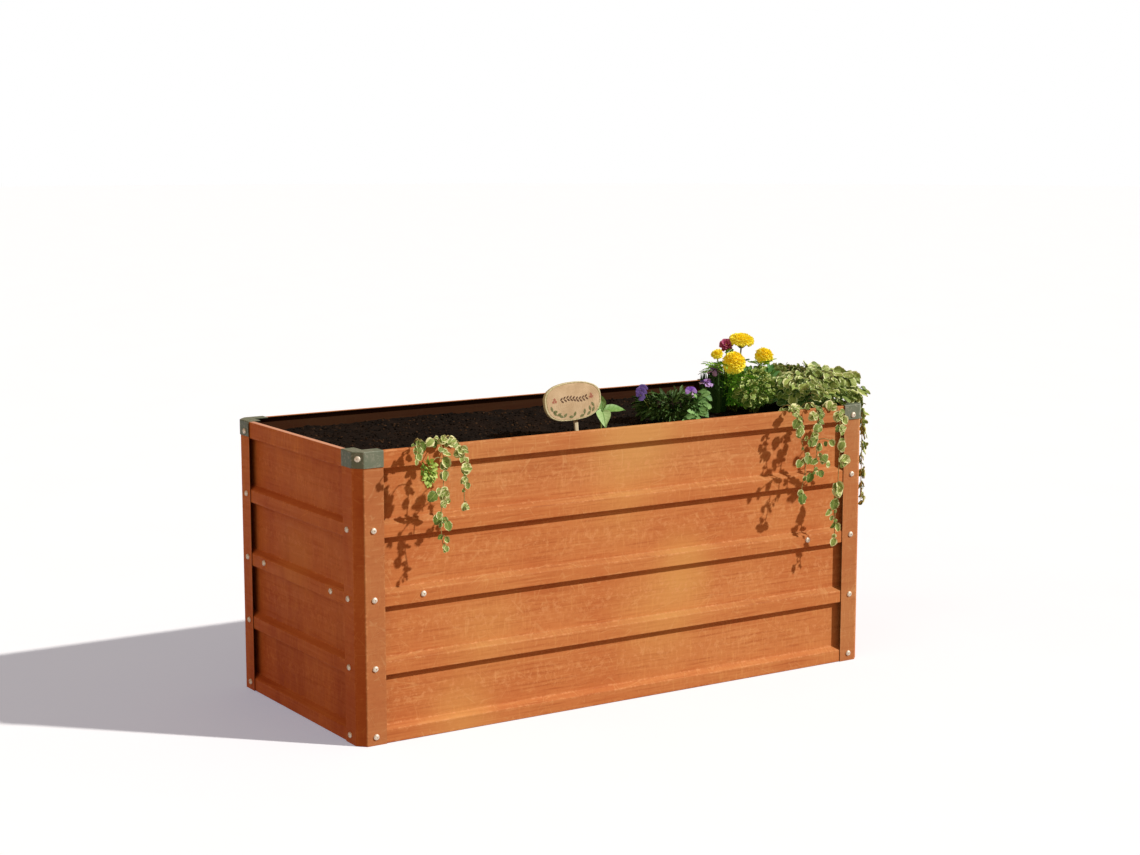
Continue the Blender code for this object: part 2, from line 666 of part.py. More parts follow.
def lobed_disc(name, radius, thickness, lobes=5):
    """Flat flower with rounded petals, facing +Z."""
    bm = bmesh.new()
    count = lobes * 4
    ring = []
    for step in range(count):
        angle = 2 * math.pi * step / count
        reach = radius * (0.84 + 0.16 * math.cos(lobes * angle))
        ring.append(bm.verts.new((reach * math.cos(angle), reach * math.sin(angle), 0.0)))
    face = bm.faces.new(ring)
    top = bmesh.ops.extrude_face_region(bm, geom=[face])["geom"]
    raised = [item for item in top if isinstance(item, bmesh.types.BMVert)]
    bmesh.ops.translate(bm, verts=raised, vec=(0, 0, thickness))
    bmesh.ops.recalc_face_normals(bm, faces=bm.faces)
    return finish_mesh(name, bm)


def build_small_flowers(masses):
    for name, (place, radius, foot) in SMALL_FLOWERS.items():
        owner = masses["viola_leaves" if name.startswith("viola") else "iris_leaves"]
        route = smooth_route([foot, place], 3)
        flower = add_part(name, tube_mesh(name, route, 0.001), "purple")
        disc = lobed_disc(f"{name}_petals", radius, 0.003)
        tilt = Vector((-0.25, -0.75, 0.6)).to_track_quat("Z", "Y").to_matrix().to_4x4()
        disc.transform(Matrix.Translation(route[-1]) @ tilt @ Matrix.Translation((0, 0, -0.0015)))
        combine(flower, add_cutter(f"{name}_petals", disc), "UNION")
        passage(name, route, 0.001, owner)


def build_seedling(soil):
    route = smooth_route(SEEDLING_ROUTE, 4)
    add_part("seedling_stem", tube_mesh("seedling_stem", route, SEEDLING_RADIUS), "stem")
    passage("seedling_stem", route, SEEDLING_RADIUS, soil)
    crown = route[-1] + Vector((0, 0, SEEDLING_RADIUS + GAP))
    for order, (name, (heading, rise, roll, droop, length, width)) in enumerate(SEEDLING_LEAVES.items()):
        start = Matrix.Translation((0, SEEDLING_RADIUS + 2 * GAP, 0.003 * order))
        level = leaf_aim(math.radians(heading), 0.0)
        tilt = leaf_aim(math.pi / 2, -math.radians(rise), math.radians(roll))
        blade = leaf_mesh(name, length, width, SEEDLING_LEAF_THICK, droop)
        blade.transform(Matrix.Translation(crown) @ level @ start @ tilt)
        add_part(name, blade, "leaf")


# ---------------------------------------------------------------- sign

def oval_board():
    """Slice of a branch: a slightly uneven oval, standing in the XZ plane."""
    bm = bmesh.new()
    count = 40
    ring = []
    for step in range(count):
        angle = 2 * math.pi * step / count
        uneven = 1.0 + 0.012 * math.sin(3 * angle + 1.0) + 0.008 * math.sin(5 * angle)
        across = math.copysign(abs(math.cos(angle)) ** SIGN_ROUND, math.cos(angle))
        up = math.copysign(abs(math.sin(angle)) ** SIGN_ROUND, math.sin(angle))
        ring.append(bm.verts.new((SIGN_WIDTH / 2 * across * uneven, 0.0, SIGN_HEIGHT / 2 * up * uneven)))
    face = bm.faces.new(ring)
    back = bmesh.ops.extrude_face_region(bm, geom=[face])["geom"]
    moved = [item for item in back if isinstance(item, bmesh.types.BMVert)]
    bmesh.ops.translate(bm, verts=moved, vec=(0, SIGN_THICK, 0))
    bmesh.ops.recalc_face_normals(bm, faces=bm.faces)
    return finish_mesh("sign_board", bm)


def stake_mesh(name, grow, top, bottom):
    """Flat stake behind the board, pointed at its foot."""
    bm = bmesh.new()
    bmesh.ops.create_cube(bm, size=1.0)
    for vert in bm.verts:
        foot = vert.co.z < 0
        taper = 0.35 if foot else 1.0
        vert.co.x = STAKE_SHIFT + vert.co.x * (STAKE_WIDTH * taper + 2 * grow)
        vert.co.y = SIGN_THICK + GAP + STAKE_THICK / 2 + vert.co.y * (STAKE_THICK + 2 * grow)
        vert.co.z = bottom if foot else top
    return finish_mesh(name, bm)


def build_sign(soil):
    """Board and stake, tilted together about the board's centre."""
    holder = bpy.data.objects.new("sign_place", None)
    holder.location = (*SIGN_PLACE, SIGN_CENTRE_Z)
    holder.rotation_euler = (-SIGN_LEAN, SIGN_ROLL, 0)
    PARTS.objects.link(holder)
    foot = SOIL_LEVEL - STAKE_DEPTH - SIGN_CENTRE_Z
    stake_top = SIGN_HEIGHT * 0.30
    board = add_part("sign_board", oval_board(), "board")
    stake = add_part("sign_stake", stake_mesh("sign_stake", 0.0, stake_top, foot), "stake")
    slot_mesh = stake_mesh("stake_slot", STEM_CLEARANCE, stake_top, foot - STEM_CLEARANCE)
    slot = add_cutter("stake_slot", slot_mesh)
    for item in (board, stake, slot):
        item.parent = holder
    rounding = board.modifiers.new("rounding", "BEVEL")
    rounding.width = 0.0015
    rounding.segments = 1
    rounding.angle_limit = math.radians(50)
    combine(soil, slot, "DIFFERENCE")


clear_scene()
PARTS = new_collection("planted_raised_bed")
CUTTERS = new_collection("cutters")

all_panels = build_panels()
all_posts = build_posts()
all_caps = build_caps()
build_cap_bolts(all_panels, all_posts, all_caps)
planting_soil = build_soil()
build_braces(planting_soil)
all_foliage = build_foliage(planting_soil)
build_marigolds(planting_soil, all_foliage)
build_small_flowers(all_foliage)
build_vines(planting_soil, all_foliage)
build_seedling(planting_soil)
build_sign(planting_soil)
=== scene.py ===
"""Planted raised bed: ribbed steel walls, corner posts with caps, soil, plants and a small sign."""

import math
import random

import bmesh
import bpy
from mathutils import Euler, Matrix, Vector, noise


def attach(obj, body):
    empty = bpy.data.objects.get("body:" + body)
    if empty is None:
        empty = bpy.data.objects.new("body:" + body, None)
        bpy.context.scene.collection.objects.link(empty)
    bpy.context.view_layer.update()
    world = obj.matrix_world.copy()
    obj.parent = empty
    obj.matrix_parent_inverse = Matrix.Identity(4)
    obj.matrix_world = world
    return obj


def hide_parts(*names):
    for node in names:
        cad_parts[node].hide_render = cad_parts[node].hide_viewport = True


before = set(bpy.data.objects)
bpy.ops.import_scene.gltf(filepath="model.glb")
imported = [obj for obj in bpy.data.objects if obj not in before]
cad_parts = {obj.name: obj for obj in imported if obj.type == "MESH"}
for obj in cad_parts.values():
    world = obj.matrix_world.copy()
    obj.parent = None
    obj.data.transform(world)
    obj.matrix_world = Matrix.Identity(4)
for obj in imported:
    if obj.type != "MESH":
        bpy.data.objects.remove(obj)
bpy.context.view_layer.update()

# Steel bed, in metres: the same sizes as the model's
LENGTH = 1.200
WIDTH = 0.520
HEIGHT = 0.550
HALF_LENGTH = LENGTH / 2
HALF_WIDTH = WIDTH / 2
SHEET = 0.0012
GAP = 0.0003
RIB_COUNT = 5
RIB_HEIGHT = 0.033
RIB_DEPTH = 0.012
RIB_SLOPE = 0.008
HEM = 0.011
PANEL_INSET = SHEET + GAP
RIB_PITCH = (HEIGHT - RIB_HEIGHT) / (RIB_COUNT - 1)
BEND_RADIUS = 0.0018
CORNER_RADIUS = 0.004
# The strip beside an edge takes worn paint, and on the steel also a painted highlight
EDGE_MARGIN = 0.003       # width of the strip beside an edge where the paint can be worn
CHAMFER = 0.016
FLANGE = 0.040
POST_REACH = CHAMFER + FLANGE
CAP_HEIGHT = 0.031
CAP_PLATE = 0.025
CAP_EDGE = 0.002
POST_TOP = HEIGHT - CAP_EDGE
CORNERS = {"front_left": (-1, -1, 0), "front_right": (1, -1, 90),
           "back_right": (1, 1, 180), "back_left": (-1, 1, 270)}

# Bolts
BOLT_RADIUS = 0.003
HEAD_RADIUS = 0.0059
HEAD_HEIGHT = 0.0033
RECESS_RADIUS = 0.0016
RECESS_DEPTH = 0.0011
NUT_RADIUS = 0.0058
NUT_HEIGHT = 0.005
BOLT_TIP = 0.0015
BOLT_STEPS = 14
FLANGE_BOLT_HEIGHTS = [0.016, 0.145, 0.2745, 0.404]
BRACE_BOLT_Z = 0.2745
BOLT_LONG = 0.034         # distance from the corner on a long wall
BOLT_SHORT = 0.039        # and on a short wall
CAP_BOLT_Z = 0.530
CHAMFER_BOLT_Z = 0.538
BRACE_LEFT_LEG = 0.137
BRACE_RIGHT_LEG = 0.149
BRACE_SIDE_LEG = 0.1125

# Camera and light
CAMERA_PLACE = (-2.3134, -3.6282, 1.1613)
CAMERA_LENS = 66.73
CAMERA_DOWN = math.radians(8.53)
CAMERA_TURN = math.radians(32.83)
SUN_FROM = (0.604, -0.604, 0.65)
SUN_STRENGTH = 3.55
SUN_SPREAD = math.radians(1.6)
SKY_FROM = (-1.0, -0.25, 0.35)
SKY_STRENGTH = 0.42
SKY_SPREAD = math.radians(70)
FILL_STRENGTH = 0.30
FILL_COLOUR = (1.06, 0.66, 0.422)
SUN_COLOUR = (1.0, 0.985, 0.95)
SKY_COLOUR = (1.0, 0.94, 0.74)
BACKDROP_STRENGTH = 1.0
FLOOR_SIZE = 60.0
FLOOR_DROP = 0.0004
FLOOR_DULL = (0.90, 0.895, 0.885, 1.0)
FLOOR_PALE = (0.93, 0.925, 0.915, 1.0)
FLOOR_GLOW = (0.10, 0.185, 0.275, 1.0)


# ---- node trees

def linear(red, green, blue):
    """A colour given by its display values from 0 to 255."""
    parts = [part / 255 for part in (red, green, blue)]
    curved = [part / 12.92 if part < 0.04045 else ((part + 0.055) / 1.055) ** 2.4 for part in parts]
    return (*curved, 1.0)


def pick(sockets, key):
    """The socket with that number, or the first one in use with that name."""
    if isinstance(key, int):
        return sockets[key]
    return next(socket for socket in sockets if socket.name == key and socket.enabled)


def forward(operation):
    """The method of an operator, which adds a Math node."""
    return lambda first, second: first.tree.math(operation, first, second)


def reflected(operation):
    return lambda second, first: second.tree.math(operation, first, second)


class Flow:
    """An output of a node. Arithmetic on it adds Math nodes to its tree."""

    def __init__(self, tree, socket):
        self.tree = tree
        self.socket = socket

    def __getitem__(self, key):
        return Flow(self.tree, pick(self.socket.node.outputs, key))

    def __abs__(self):
        return self.tree.math("ABSOLUTE", self)

    def ease(self, low, high, start=0.0, end=1.0):
        """Start below low, end above high, and an eased change between them."""
        values = {"Value": self, "From Min": low, "From Max": high, "To Min": start, "To Max": end}
        return self.tree.add("ShaderNodeMapRange", values, interpolation_type="SMOOTHSTEP")

    __add__ = forward("ADD")
    __radd__ = reflected("ADD")
    __sub__ = forward("SUBTRACT")
    __rsub__ = reflected("SUBTRACT")
    __mul__ = forward("MULTIPLY")
    __rmul__ = reflected("MULTIPLY")
    __truediv__ = forward("DIVIDE")
    __rtruediv__ = reflected("DIVIDE")
    __pow__ = forward("POWER")


class Tree:
    """A node tree, with one way to add any node to it."""

    def __init__(self, tree):
        self.tree = tree

    def add(self, kind, values=None, **settings):
        """A node with its settings first, then its sockets' values or links."""
        node = self.tree.nodes.new(kind)
        for name, setting in settings.items():
            setattr(node, name, setting)
        for key, value in (values or {}).items():
            self.feed(pick(node.inputs, key), value)
        usable = [socket for socket in node.outputs if socket.enabled]
        return Flow(self, usable[0]) if usable else None

    def feed(self, socket, value):
        for item in value if isinstance(value, list) else [value]:
            if isinstance(item, Flow):
                self.tree.links.new(item.socket, socket)
            else:
                socket.default_value = item

    def math(self, operation, *values):
        return self.add("ShaderNodeMath", dict(enumerate(values)), operation=operation)

    def vector_math(self, operation, *values):
        return self.add("ShaderNodeVectorMath", dict(enumerate(values)), operation=operation)

    def vector(self, x, y, z):
        return self.add("ShaderNodeCombineXYZ", {"X": x, "Y": y, "Z": z})

    def split(self, vector):
        return self.add("ShaderNodeSeparateXYZ", {"Vector": vector})

    def scaled(self, vector, amount):
        return self.add("ShaderNodeVectorMath", {0: vector, "Scale": amount}, operation="SCALE")

    def summed(self, first, *others):
        for other in others:
            first = self.vector_math("ADD", first, other)
        return first



class Finish(Tree):
    """A material whose nodes feed one Principled shader. Its colour is laid on coat by coat."""

    def __init__(self, name, roughness, metallic=0.0, specular=0.5):
        self.material = bpy.data.materials.new(name)
        self.material.use_nodes = True
        super().__init__(self.material.node_tree)
        self.shader = self.tree.nodes["Principled BSDF"]
        self.give("Roughness", roughness)
        self.give("Metallic", metallic)
        self.give("Specular IOR Level", specular)

    def give(self, socket, value):
        self.feed(self.shader.inputs[socket], value)

    def place(self):
        return self.add("ShaderNodeTexCoord")["Object"]

    def facing(self):
        return self.split(self.add("ShaderNodeNewGeometry")["Normal"])

    def attribute(self, name):
        return self.add("ShaderNodeAttribute", attribute_name=name)["Fac"]

    def noise(self, vector, scale, detail=2.0, roughness=0.5):
        values = {"Vector": vector, "Scale": scale, "Detail": detail, "Roughness": roughness}
        return self.add("ShaderNodeTexNoise", values)

    def mix(self, factor, first, second, blend="MIX"):
        values = {"Factor": factor, "A": first, "B": second}
        return self.add("ShaderNodeMix", values, data_type="RGBA", blend_type=blend)

    def ground(self, factor, first, second):
        """First coat, between two display colours."""
        self.colour = self.mix(factor, linear(*first), linear(*second))

    def coat(self, mask, *shade):
        """A display colour over the coats so far, where the mask is."""
        self.colour = self.mix(mask, self.colour, linear(*shade))

    def dye(self, mask, *parts):
        """The coats so far, multiplied where the mask is."""
        self.colour = self.mix(mask, self.colour, (*parts, 1.0), "MULTIPLY")

    def done(self, height, distance):
        """The material, with its coats and its relief."""
        self.give("Base Color", self.colour)
        self.give("Normal", self.add("ShaderNodeBump", {"Height": height, "Distance": distance}))
        return self.material


# A recipe's socket takes its kind from its default; a socket for an object has none
SOCKET_KINDS = {float: "NodeSocketFloat", int: "NodeSocketInt", tuple: "NodeSocketVector",
                type(None): "NodeSocketObject"}
SHAPES = dict.fromkeys(("Shape_1", "Shape_2", "Shape_3"))
NOWHERE = (0.0, 0.0, 0.0)


class Recipe(Tree):
    """A Geometry Nodes tree with named inputs, which ends in plain geometry with a material."""

    def __init__(self, name, **inputs):
        super().__init__(bpy.data.node_groups.new(name, "GeometryNodeTree"))
        self.new_socket("Geometry", "NodeSocketGeometry")
        for label, default in inputs.items():
            socket = self.new_socket(label, SOCKET_KINDS[type(default)])
            if default is not None:
                socket.default_value = default
        self.new_socket("Material", "NodeSocketMaterial")
        self.new_socket("Geometry", "NodeSocketGeometry", "OUTPUT")
        self.given = self.add("NodeGroupInput")

    def new_socket(self, label, kind, side="INPUT"):
        return self.tree.interface.new_socket(label, in_out=side, socket_type=kind)

    def geo(self, kind, values=None, **settings):
        return self.add(f"GeometryNode{kind}", values, **settings)

    def euler(self, turn):
        return self.add("FunctionNodeEulerToRotation", {"Euler": turn})

    def aim(self, heading, upper):
        """Turn that points Y along heading and Z towards upper."""
        return self.add("FunctionNodeAxesToRotation", {"Primary Axis": heading, "Secondary Axis": upper},
                        primary_axis="Y", secondary_axis="Z")

    def chance(self, least, most, shift, kind="FLOAT"):
        """A random number for each point, repeatable by the tree's seed."""
        values = {"Min": least, "Max": most, "Seed": self.given["Seed"] + shift}
        return self.add("FunctionNodeRandomValue", values, data_type=kind)

    def any_way(self, shift):
        return self.chance((-1.0, -1.0, -1.0), (1.0, 1.0, 1.0), shift, "FLOAT_VECTOR")

    def copies(self, points, turn, size, which):
        """One of the given shapes on each point."""
        shapes = [self.geo("ObjectInfo", {"Object": self.given[label]}) for label in reversed(SHAPES)]
        shapes = [self.geo("GeometryToInstance", {"Geometry": shape["Geometry"]}) for shape in shapes]
        shapes = self.geo("JoinGeometry", {"Geometry": shapes})
        return self.geo("InstanceOnPoints", {
            "Points": points, "Instance": shapes, "Pick Instance": True, "Instance Index": which,
            "Rotation": turn, "Scale": self.vector(size, size, size)})

    def tinted(self, copies, shift):
        """Copies with a random tint each."""
        values = {"Geometry": copies, "Name": "tint", "Value": self.chance(0.0, 1.0, shift)}
        return self.geo("StoreNamedAttribute", values, data_type="FLOAT", domain="INSTANCE")

    def end(self, geometry):
        """Plain geometry with the given material is what the tree hands back."""
        plain = self.geo("RealizeInstances", {"Geometry": geometry})
        painted = self.geo("SetMaterial", {"Geometry": plain, "Material": self.given["Material"]})
        self.add("NodeGroupOutput", {"Geometry": painted})
        return self

    def run(self, name, guide, material, **values):
        """The plain mesh that the tree makes from a guide mesh, as a new object."""
        holder = new_object(f"{name}_guide", guide)
        modifier = holder.modifiers.new("recipe", "NODES")
        modifier.node_group = self.tree
        sockets = {item.name: item.identifier for item in self.tree.interface.items_tree
                   if item.in_out == "INPUT"}
        for label, value in dict(values, Material=material).items():
            modifier[sockets[label]] = value
        return settled(holder, name)

    def fill(self, name, guide, shapes, material, **values):
        """The same with up to three shapes, which go afterwards."""
        meshes = [shape.mesh(name) if isinstance(shape, Shape) else shape for shape in shapes]
        holders = [new_object(f"{name}_shape", mesh) for mesh in meshes]
        chosen = {label: holders[order % len(holders)] for order, label in enumerate(SHAPES)}
        piece = self.run(name, guide, material, **values, **chosen)
        for holder in holders:
            bpy.data.objects.remove(holder, do_unlink=True)
        return piece


# ---- objects and meshes

def new_object(name, mesh, paint=None):
    if paint:
        mesh.materials.append(paint)
    item = bpy.data.objects.new(name, mesh)
    bpy.context.scene.collection.objects.link(item)
    return item


def settled(holder, name):
    """The evaluated mesh of an object as a new plain object; the first object goes."""
    graph = bpy.context.evaluated_depsgraph_get()
    mesh = bpy.data.meshes.new_from_object(holder.evaluated_get(graph), preserve_all_data_layers=True,
                                           depsgraph=graph)
    bpy.data.objects.remove(holder, do_unlink=True)
    mesh.name = name
    return new_object(name, mesh)


def mesh_from(name, bm):
    mesh = bpy.data.meshes.new(name)
    bm.to_mesh(mesh)
    bm.free()
    return mesh


def outward(mesh):
    """Turn the faces of a closed mesh outwards."""
    bm = bmesh.new()
    bm.from_mesh(mesh)
    bmesh.ops.remove_doubles(bm, verts=bm.verts, dist=0.000002)
    bmesh.ops.recalc_face_normals(bm, faces=bm.faces)
    bm.to_mesh(mesh)
    bm.free()


def soften(mesh, angle=35):
    """Smooth shading, with edges kept sharp above an angle in degrees."""
    mesh.shade_smooth()
    mesh.set_sharp_from_angle(angle=math.radians(angle))


def hand_over(piece, slot, *nodes):
    """The piece rides with the bed and stands for the model's nodes."""
    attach(piece, "root")
    if nodes:
        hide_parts(*nodes)


def store(mesh, name, values, kind="FLOAT", domain="POINT"):
    layer = mesh.attributes.new(name, kind, domain)
    if kind == "FLOAT_VECTOR":
        layer.data.foreach_set("vector", [part for value in values for part in value])
    else:
        layer.data.foreach_set("value", values)


UP = Vector((0.0, 0.0, 1.0))


def ray(angle, rise=0.0):
    """Direction at an angle in the level plane, with a rise."""
    return Vector((math.cos(angle), math.sin(angle), rise))


def turn_by(degrees, axis):
    return Matrix.Rotation(math.radians(degrees), 4, axis)


def looking(direction):
    """Turn that points Z along a direction."""
    return Vector(direction).to_track_quat("Z", "Y")


# ---- bent sheet

def bent(path, radius=BEND_RADIUS, steps=4):
    """Points of a path with arcs at its corners, each with a mark: 1 on an edge, 0 elsewhere."""
    points = [Vector(point) for point in path]
    marked = [(points[0], 1.0)]
    for before, corner, after in zip(points, points[1:], points[2:]):
        back = (before - corner).normalized()
        ahead = (after - corner).normalized()
        half_turn = (math.pi - back.angle(ahead)) / 2
        reach = min(radius * math.tan(half_turn), 0.4 * (before - corner).length)
        spare = min((before - corner).length, (after - corner).length)
        if spare > 2 * (reach + EDGE_MARGIN):
            marked.append((corner + back * (reach + EDGE_MARGIN), 0.0))
        start = corner + back * reach
        stop = corner + ahead * reach
        for step in range(steps + 1):
            t = step / steps
            marked.append(((1 - t) ** 2 * start + 2 * t * (1 - t) * corner + t ** 2 * stop, 1.0))
        if spare > 2 * (reach + EDGE_MARGIN):
            marked.append((corner + ahead * (reach + EDGE_MARGIN), 0.0))
    marked.append((points[-1], 1.0))
    return marked


def chain_mesh(name, chains):
    """Edges along marked (depth, z) paths, standing in the plane x = 0."""
    bm = bmesh.new()
    marks = []
    for chain in chains:
        verts = [bm.verts.new((0.0, point.x, point.y)) for point, _ in chain]
        marks += [mark for _, mark in chain]
        for here, there in zip(verts, verts[1:]):
            bm.edges.new((here, there))
    mesh = mesh_from(name, bm)
    store(mesh, "edge", marks)
    return mesh


def ribbed_wall_recipe():
    """Ribs at an even pitch between a top and a bottom edge, drawn out to the wall's length."""
    recipe = Recipe("ribbed_wall", Edges=None, Ribs=3, First=0.0, Pitch=0.1, Length=1.0)
    given = recipe.given
    spots = recipe.geo("MeshLine", {
        "Count": given["Ribs"], "Start Location": recipe.vector(0.0, 0.0, given["First"]),
        "Offset": recipe.vector(0.0, 0.0, given["Pitch"])}, mode="OFFSET")
    ribs = recipe.geo("InstanceOnPoints", {"Points": spots, "Instance": given["Geometry"]})
    ribs = recipe.geo("RealizeInstances", {"Geometry": ribs})
    edges = recipe.geo("ObjectInfo", {"Object": given["Edges"]})["Geometry"]
    profile = recipe.geo("JoinGeometry", {"Geometry": [ribs, edges]})
    profile = recipe.geo("MergeByDistance", {"Geometry": profile, "Distance": 0.0001})
    along = recipe.vector(given["Length"], 0.0, 0.0)
    wall = recipe.geo("ExtrudeMesh", {"Mesh": profile, "Offset": along, "Offset Scale": 1.0}, mode="EDGES")
    shift = recipe.scaled(along, -0.5)
    return recipe.end(recipe.geo("Transform", {"Geometry": wall, "Translation": shift}))


def rib_profiles():
    """Profile of one inner rib, and those of the wall's bottom and top edges."""
    band = (RIB_HEIGHT + RIB_PITCH) / 2
    rib = [(RIB_DEPTH, band), (RIB_DEPTH, RIB_HEIGHT), (0.0, RIB_HEIGHT - RIB_SLOPE), (0.0, 0.0),
           (RIB_DEPTH, 0.0), (RIB_DEPTH, band - RIB_PITCH)]
    bottom = rib[:4] + [(HEM, 0.0)]
    top_foot = HEIGHT - RIB_HEIGHT
    top = [(HEM, HEIGHT), (0.0, HEIGHT), (0.0, top_foot), (RIB_DEPTH, top_foot),
           (RIB_DEPTH, top_foot + band - RIB_PITCH)]
    return rib, bottom, top


def thickened(piece, name):
    """A closed sheet from an open one, thicker behind its outer face, with even shading."""
    sheet = piece.modifiers.new("thickness", "SOLIDIFY")
    sheet.thickness = SHEET
    sheet.offset = -1.0
    sheet.use_even_offset = True
    solid = settled(piece, name)
    outward(solid.data)
    soften(solid.data)
    shade = solid.modifiers.new("even_shading", "WEIGHTED_NORMAL")
    shade.keep_sharp = True
    return settled(solid, name)


def mark_inside(mesh):
    """Mark the faces that look at the soil."""
    marks = []
    for face in mesh.polygons:
        away = Vector((face.center.x / HALF_LENGTH ** 2, face.center.y / HALF_WIDTH ** 2, 0.0))
        marks.append(1.0 if face.normal.dot(away.normalized()) < -0.3 else 0.0)
    store(mesh, "inside", marks, domain="FACE")


def build_walls(paint):
    recipe = ribbed_wall_recipe()
    rib, bottom, top = rib_profiles()
    ends = CHAMFER + 2 * GAP
    long_wall = LENGTH - 2 * ends
    short_wall = WIDTH - 2 * ends
    walls = {"front": (long_wall, (0, -HALF_WIDTH + PANEL_INSET, 0), 0),
             "right": (short_wall, (HALF_LENGTH - PANEL_INSET, 0, 0), 90),
             "back": (long_wall, (0, HALF_WIDTH - PANEL_INSET, 0), 180),
             "left": (short_wall, (-HALF_LENGTH + PANEL_INSET, 0, 0), 270)}
    for side, (length, place, turn) in walls.items():
        edges = new_object("wall_edges", chain_mesh("wall_edges", [bent(bottom), bent(top)]))
        name = f"{side}_wall"
        wall = recipe.run(name, chain_mesh("wall_rib", [bent(rib)]), paint, Edges=edges, Ribs=RIB_COUNT - 2,
                          First=RIB_PITCH, Pitch=RIB_PITCH, Length=length)
        bpy.data.objects.remove(edges, do_unlink=True)
        if sum(face.area * face.normal.y for face in wall.data.polygons) > 0:
            wall.data.flip_normals()
        wall = thickened(wall, name)
        wall.data.transform(Matrix.Translation(place) @ turn_by(turn, "Z"))
        mark_inside(wall.data)
        hand_over(wall, "painted_steel", f"{side}_panel")


def corner_path(proud):
    """Plan of a corner in its own frame: flange, 45 degree face, flange, set out by proud."""
    bend = CHAMFER - proud * (math.sqrt(2) - 1)
    return [(-proud, POST_REACH), (-proud, bend), (bend, -proud), (POST_REACH, -proud)]


def standing_sheet(name, rings, lid=()):
    """Open sheet through rings of a marked plan, a height and a mark each, with a flat lid if it has one."""
    bm = bmesh.new()
    rows = []
    marks = []
    for plan, height, ring_mark in rings:
        rows.append([bm.verts.new((point.x, point.y, height)) for point, _ in plan])
        marks += [max(ring_mark, mark) for _, mark in plan]
    for low, high in zip(rows, rows[1:]):
        for here in range(len(low) - 1):
            bm.faces.new((low[here], low[here + 1], high[here + 1], high[here]))
    if lid:
        bm.faces.new(rows[-1] + [bm.verts.new((x, y, height)) for x, y in lid])
        marks += [1.0] * len(lid)
    mesh = mesh_from(name, bm)
    store(mesh, "edge", marks)
    return mesh


def build_corners(kind, rings, lid, paint):
    """A thick sheet at each corner, as a finished object with the corner's name."""
    for corner, (side_x, side_y, turn) in CORNERS.items():
        name = f"{corner}_{kind}"
        piece = thickened(new_object(name, standing_sheet(name, rings, lid), paint), name)
        place = Matrix.Translation((side_x * HALF_LENGTH, side_y * HALF_WIDTH, 0))
        piece.data.transform(place @ turn_by(turn, "Z"))
        yield corner, piece


def build_posts(paint):
    plan = bent(corner_path(0.0), CORNER_RADIUS, steps=5)
    plan.insert(1, (plan[0][0].lerp(plan[1][0], 0.1), 0.0))
    plan.insert(-1, (plan[-1][0].lerp(plan[-2][0], 0.1), 0.0))
    rings = [(plan, 0.0, 1.0), (plan, EDGE_MARGIN, 0.0), (plan, POST_TOP - EDGE_MARGIN, 0.0),
             (plan, POST_TOP, 1.0)]
    for corner, post in build_corners("post", rings, (), paint):
        mark_inside(post.data)
        store(post.data, "post", [1.0] * len(post.data.vertices))
        hand_over(post, "painted_steel", f"corner_post_{corner}")


def build_caps(paint):
    """L-shaped plates that roll over into a skirt."""
    steps = 4
    proud = GAP + SHEET
    top = HEIGHT + proud
    levels = [(0.0, top - CAP_HEIGHT, 1.0), (0.0, top - CAP_HEIGHT + 0.0025, 0.0)]
    for step in range(steps + 1):
        angle = math.pi / 2 * step / steps
        levels.append((CAP_EDGE * (1 - math.cos(angle)), top - CAP_EDGE * (1 - math.sin(angle)), 1.0))
    rings = [(bent(corner_path(proud - inset), CORNER_RADIUS - inset), height, mark)
             for inset, height, mark in levels]
    lid = [(POST_REACH, CAP_PLATE), (CAP_PLATE, CAP_PLATE), (CAP_PLATE, POST_REACH)]
    for corner, cap in build_corners("cap", rings, lid, paint):
        hand_over(cap, "cap_paint", f"corner_cap_{corner}")


# ---- bolts

def turned(name, profile, steps):
    """Closed body turned about Z from a (radius, height) profile that starts and ends on the axis."""
    bm = bmesh.new()
    chain = [bm.verts.new((radius, 0.0, height)) for radius, height in profile]
    links = [bm.edges.new(pair) for pair in zip(chain, chain[1:])]
    bmesh.ops.spin(bm, geom=chain + links, cent=(0, 0, 0), axis=(0, 0, 1), dvec=(0, 0, 0),
                   angle=2 * math.pi, steps=steps, use_merge=True)
    bmesh.ops.remove_doubles(bm, verts=bm.verts, dist=0.00001)
    bmesh.ops.recalc_face_normals(bm, faces=bm.faces)
    return mesh_from(name, bm)


def bolt_profile():
    """Low domed head with a small recess, shank, and nut."""
    grip = 3 * SHEET + 3 * GAP
    tip = -(grip + GAP + NUT_HEIGHT + BOLT_TIP)
    floor = HEAD_HEIGHT - RECESS_DEPTH
    head = [(0.0, floor), (RECESS_RADIUS, floor), (RECESS_RADIUS + 0.0001, HEAD_HEIGHT)]
    for degrees in (45, 62, 78, 90):
        angle = math.radians(degrees)
        head.append((HEAD_RADIUS * math.sin(angle), HEAD_HEIGHT * math.cos(angle) ** 0.8 + 0.0004))
    nut = [(NUT_RADIUS, -grip), (NUT_RADIUS, -grip - NUT_HEIGHT)]
    return head + [(HEAD_RADIUS, 0.0), (BOLT_RADIUS, 0.0), (BOLT_RADIUS, -grip), *nut,
                   (BOLT_RADIUS, -grip - NUT_HEIGHT), (BOLT_RADIUS, tip), (0.0, tip)]


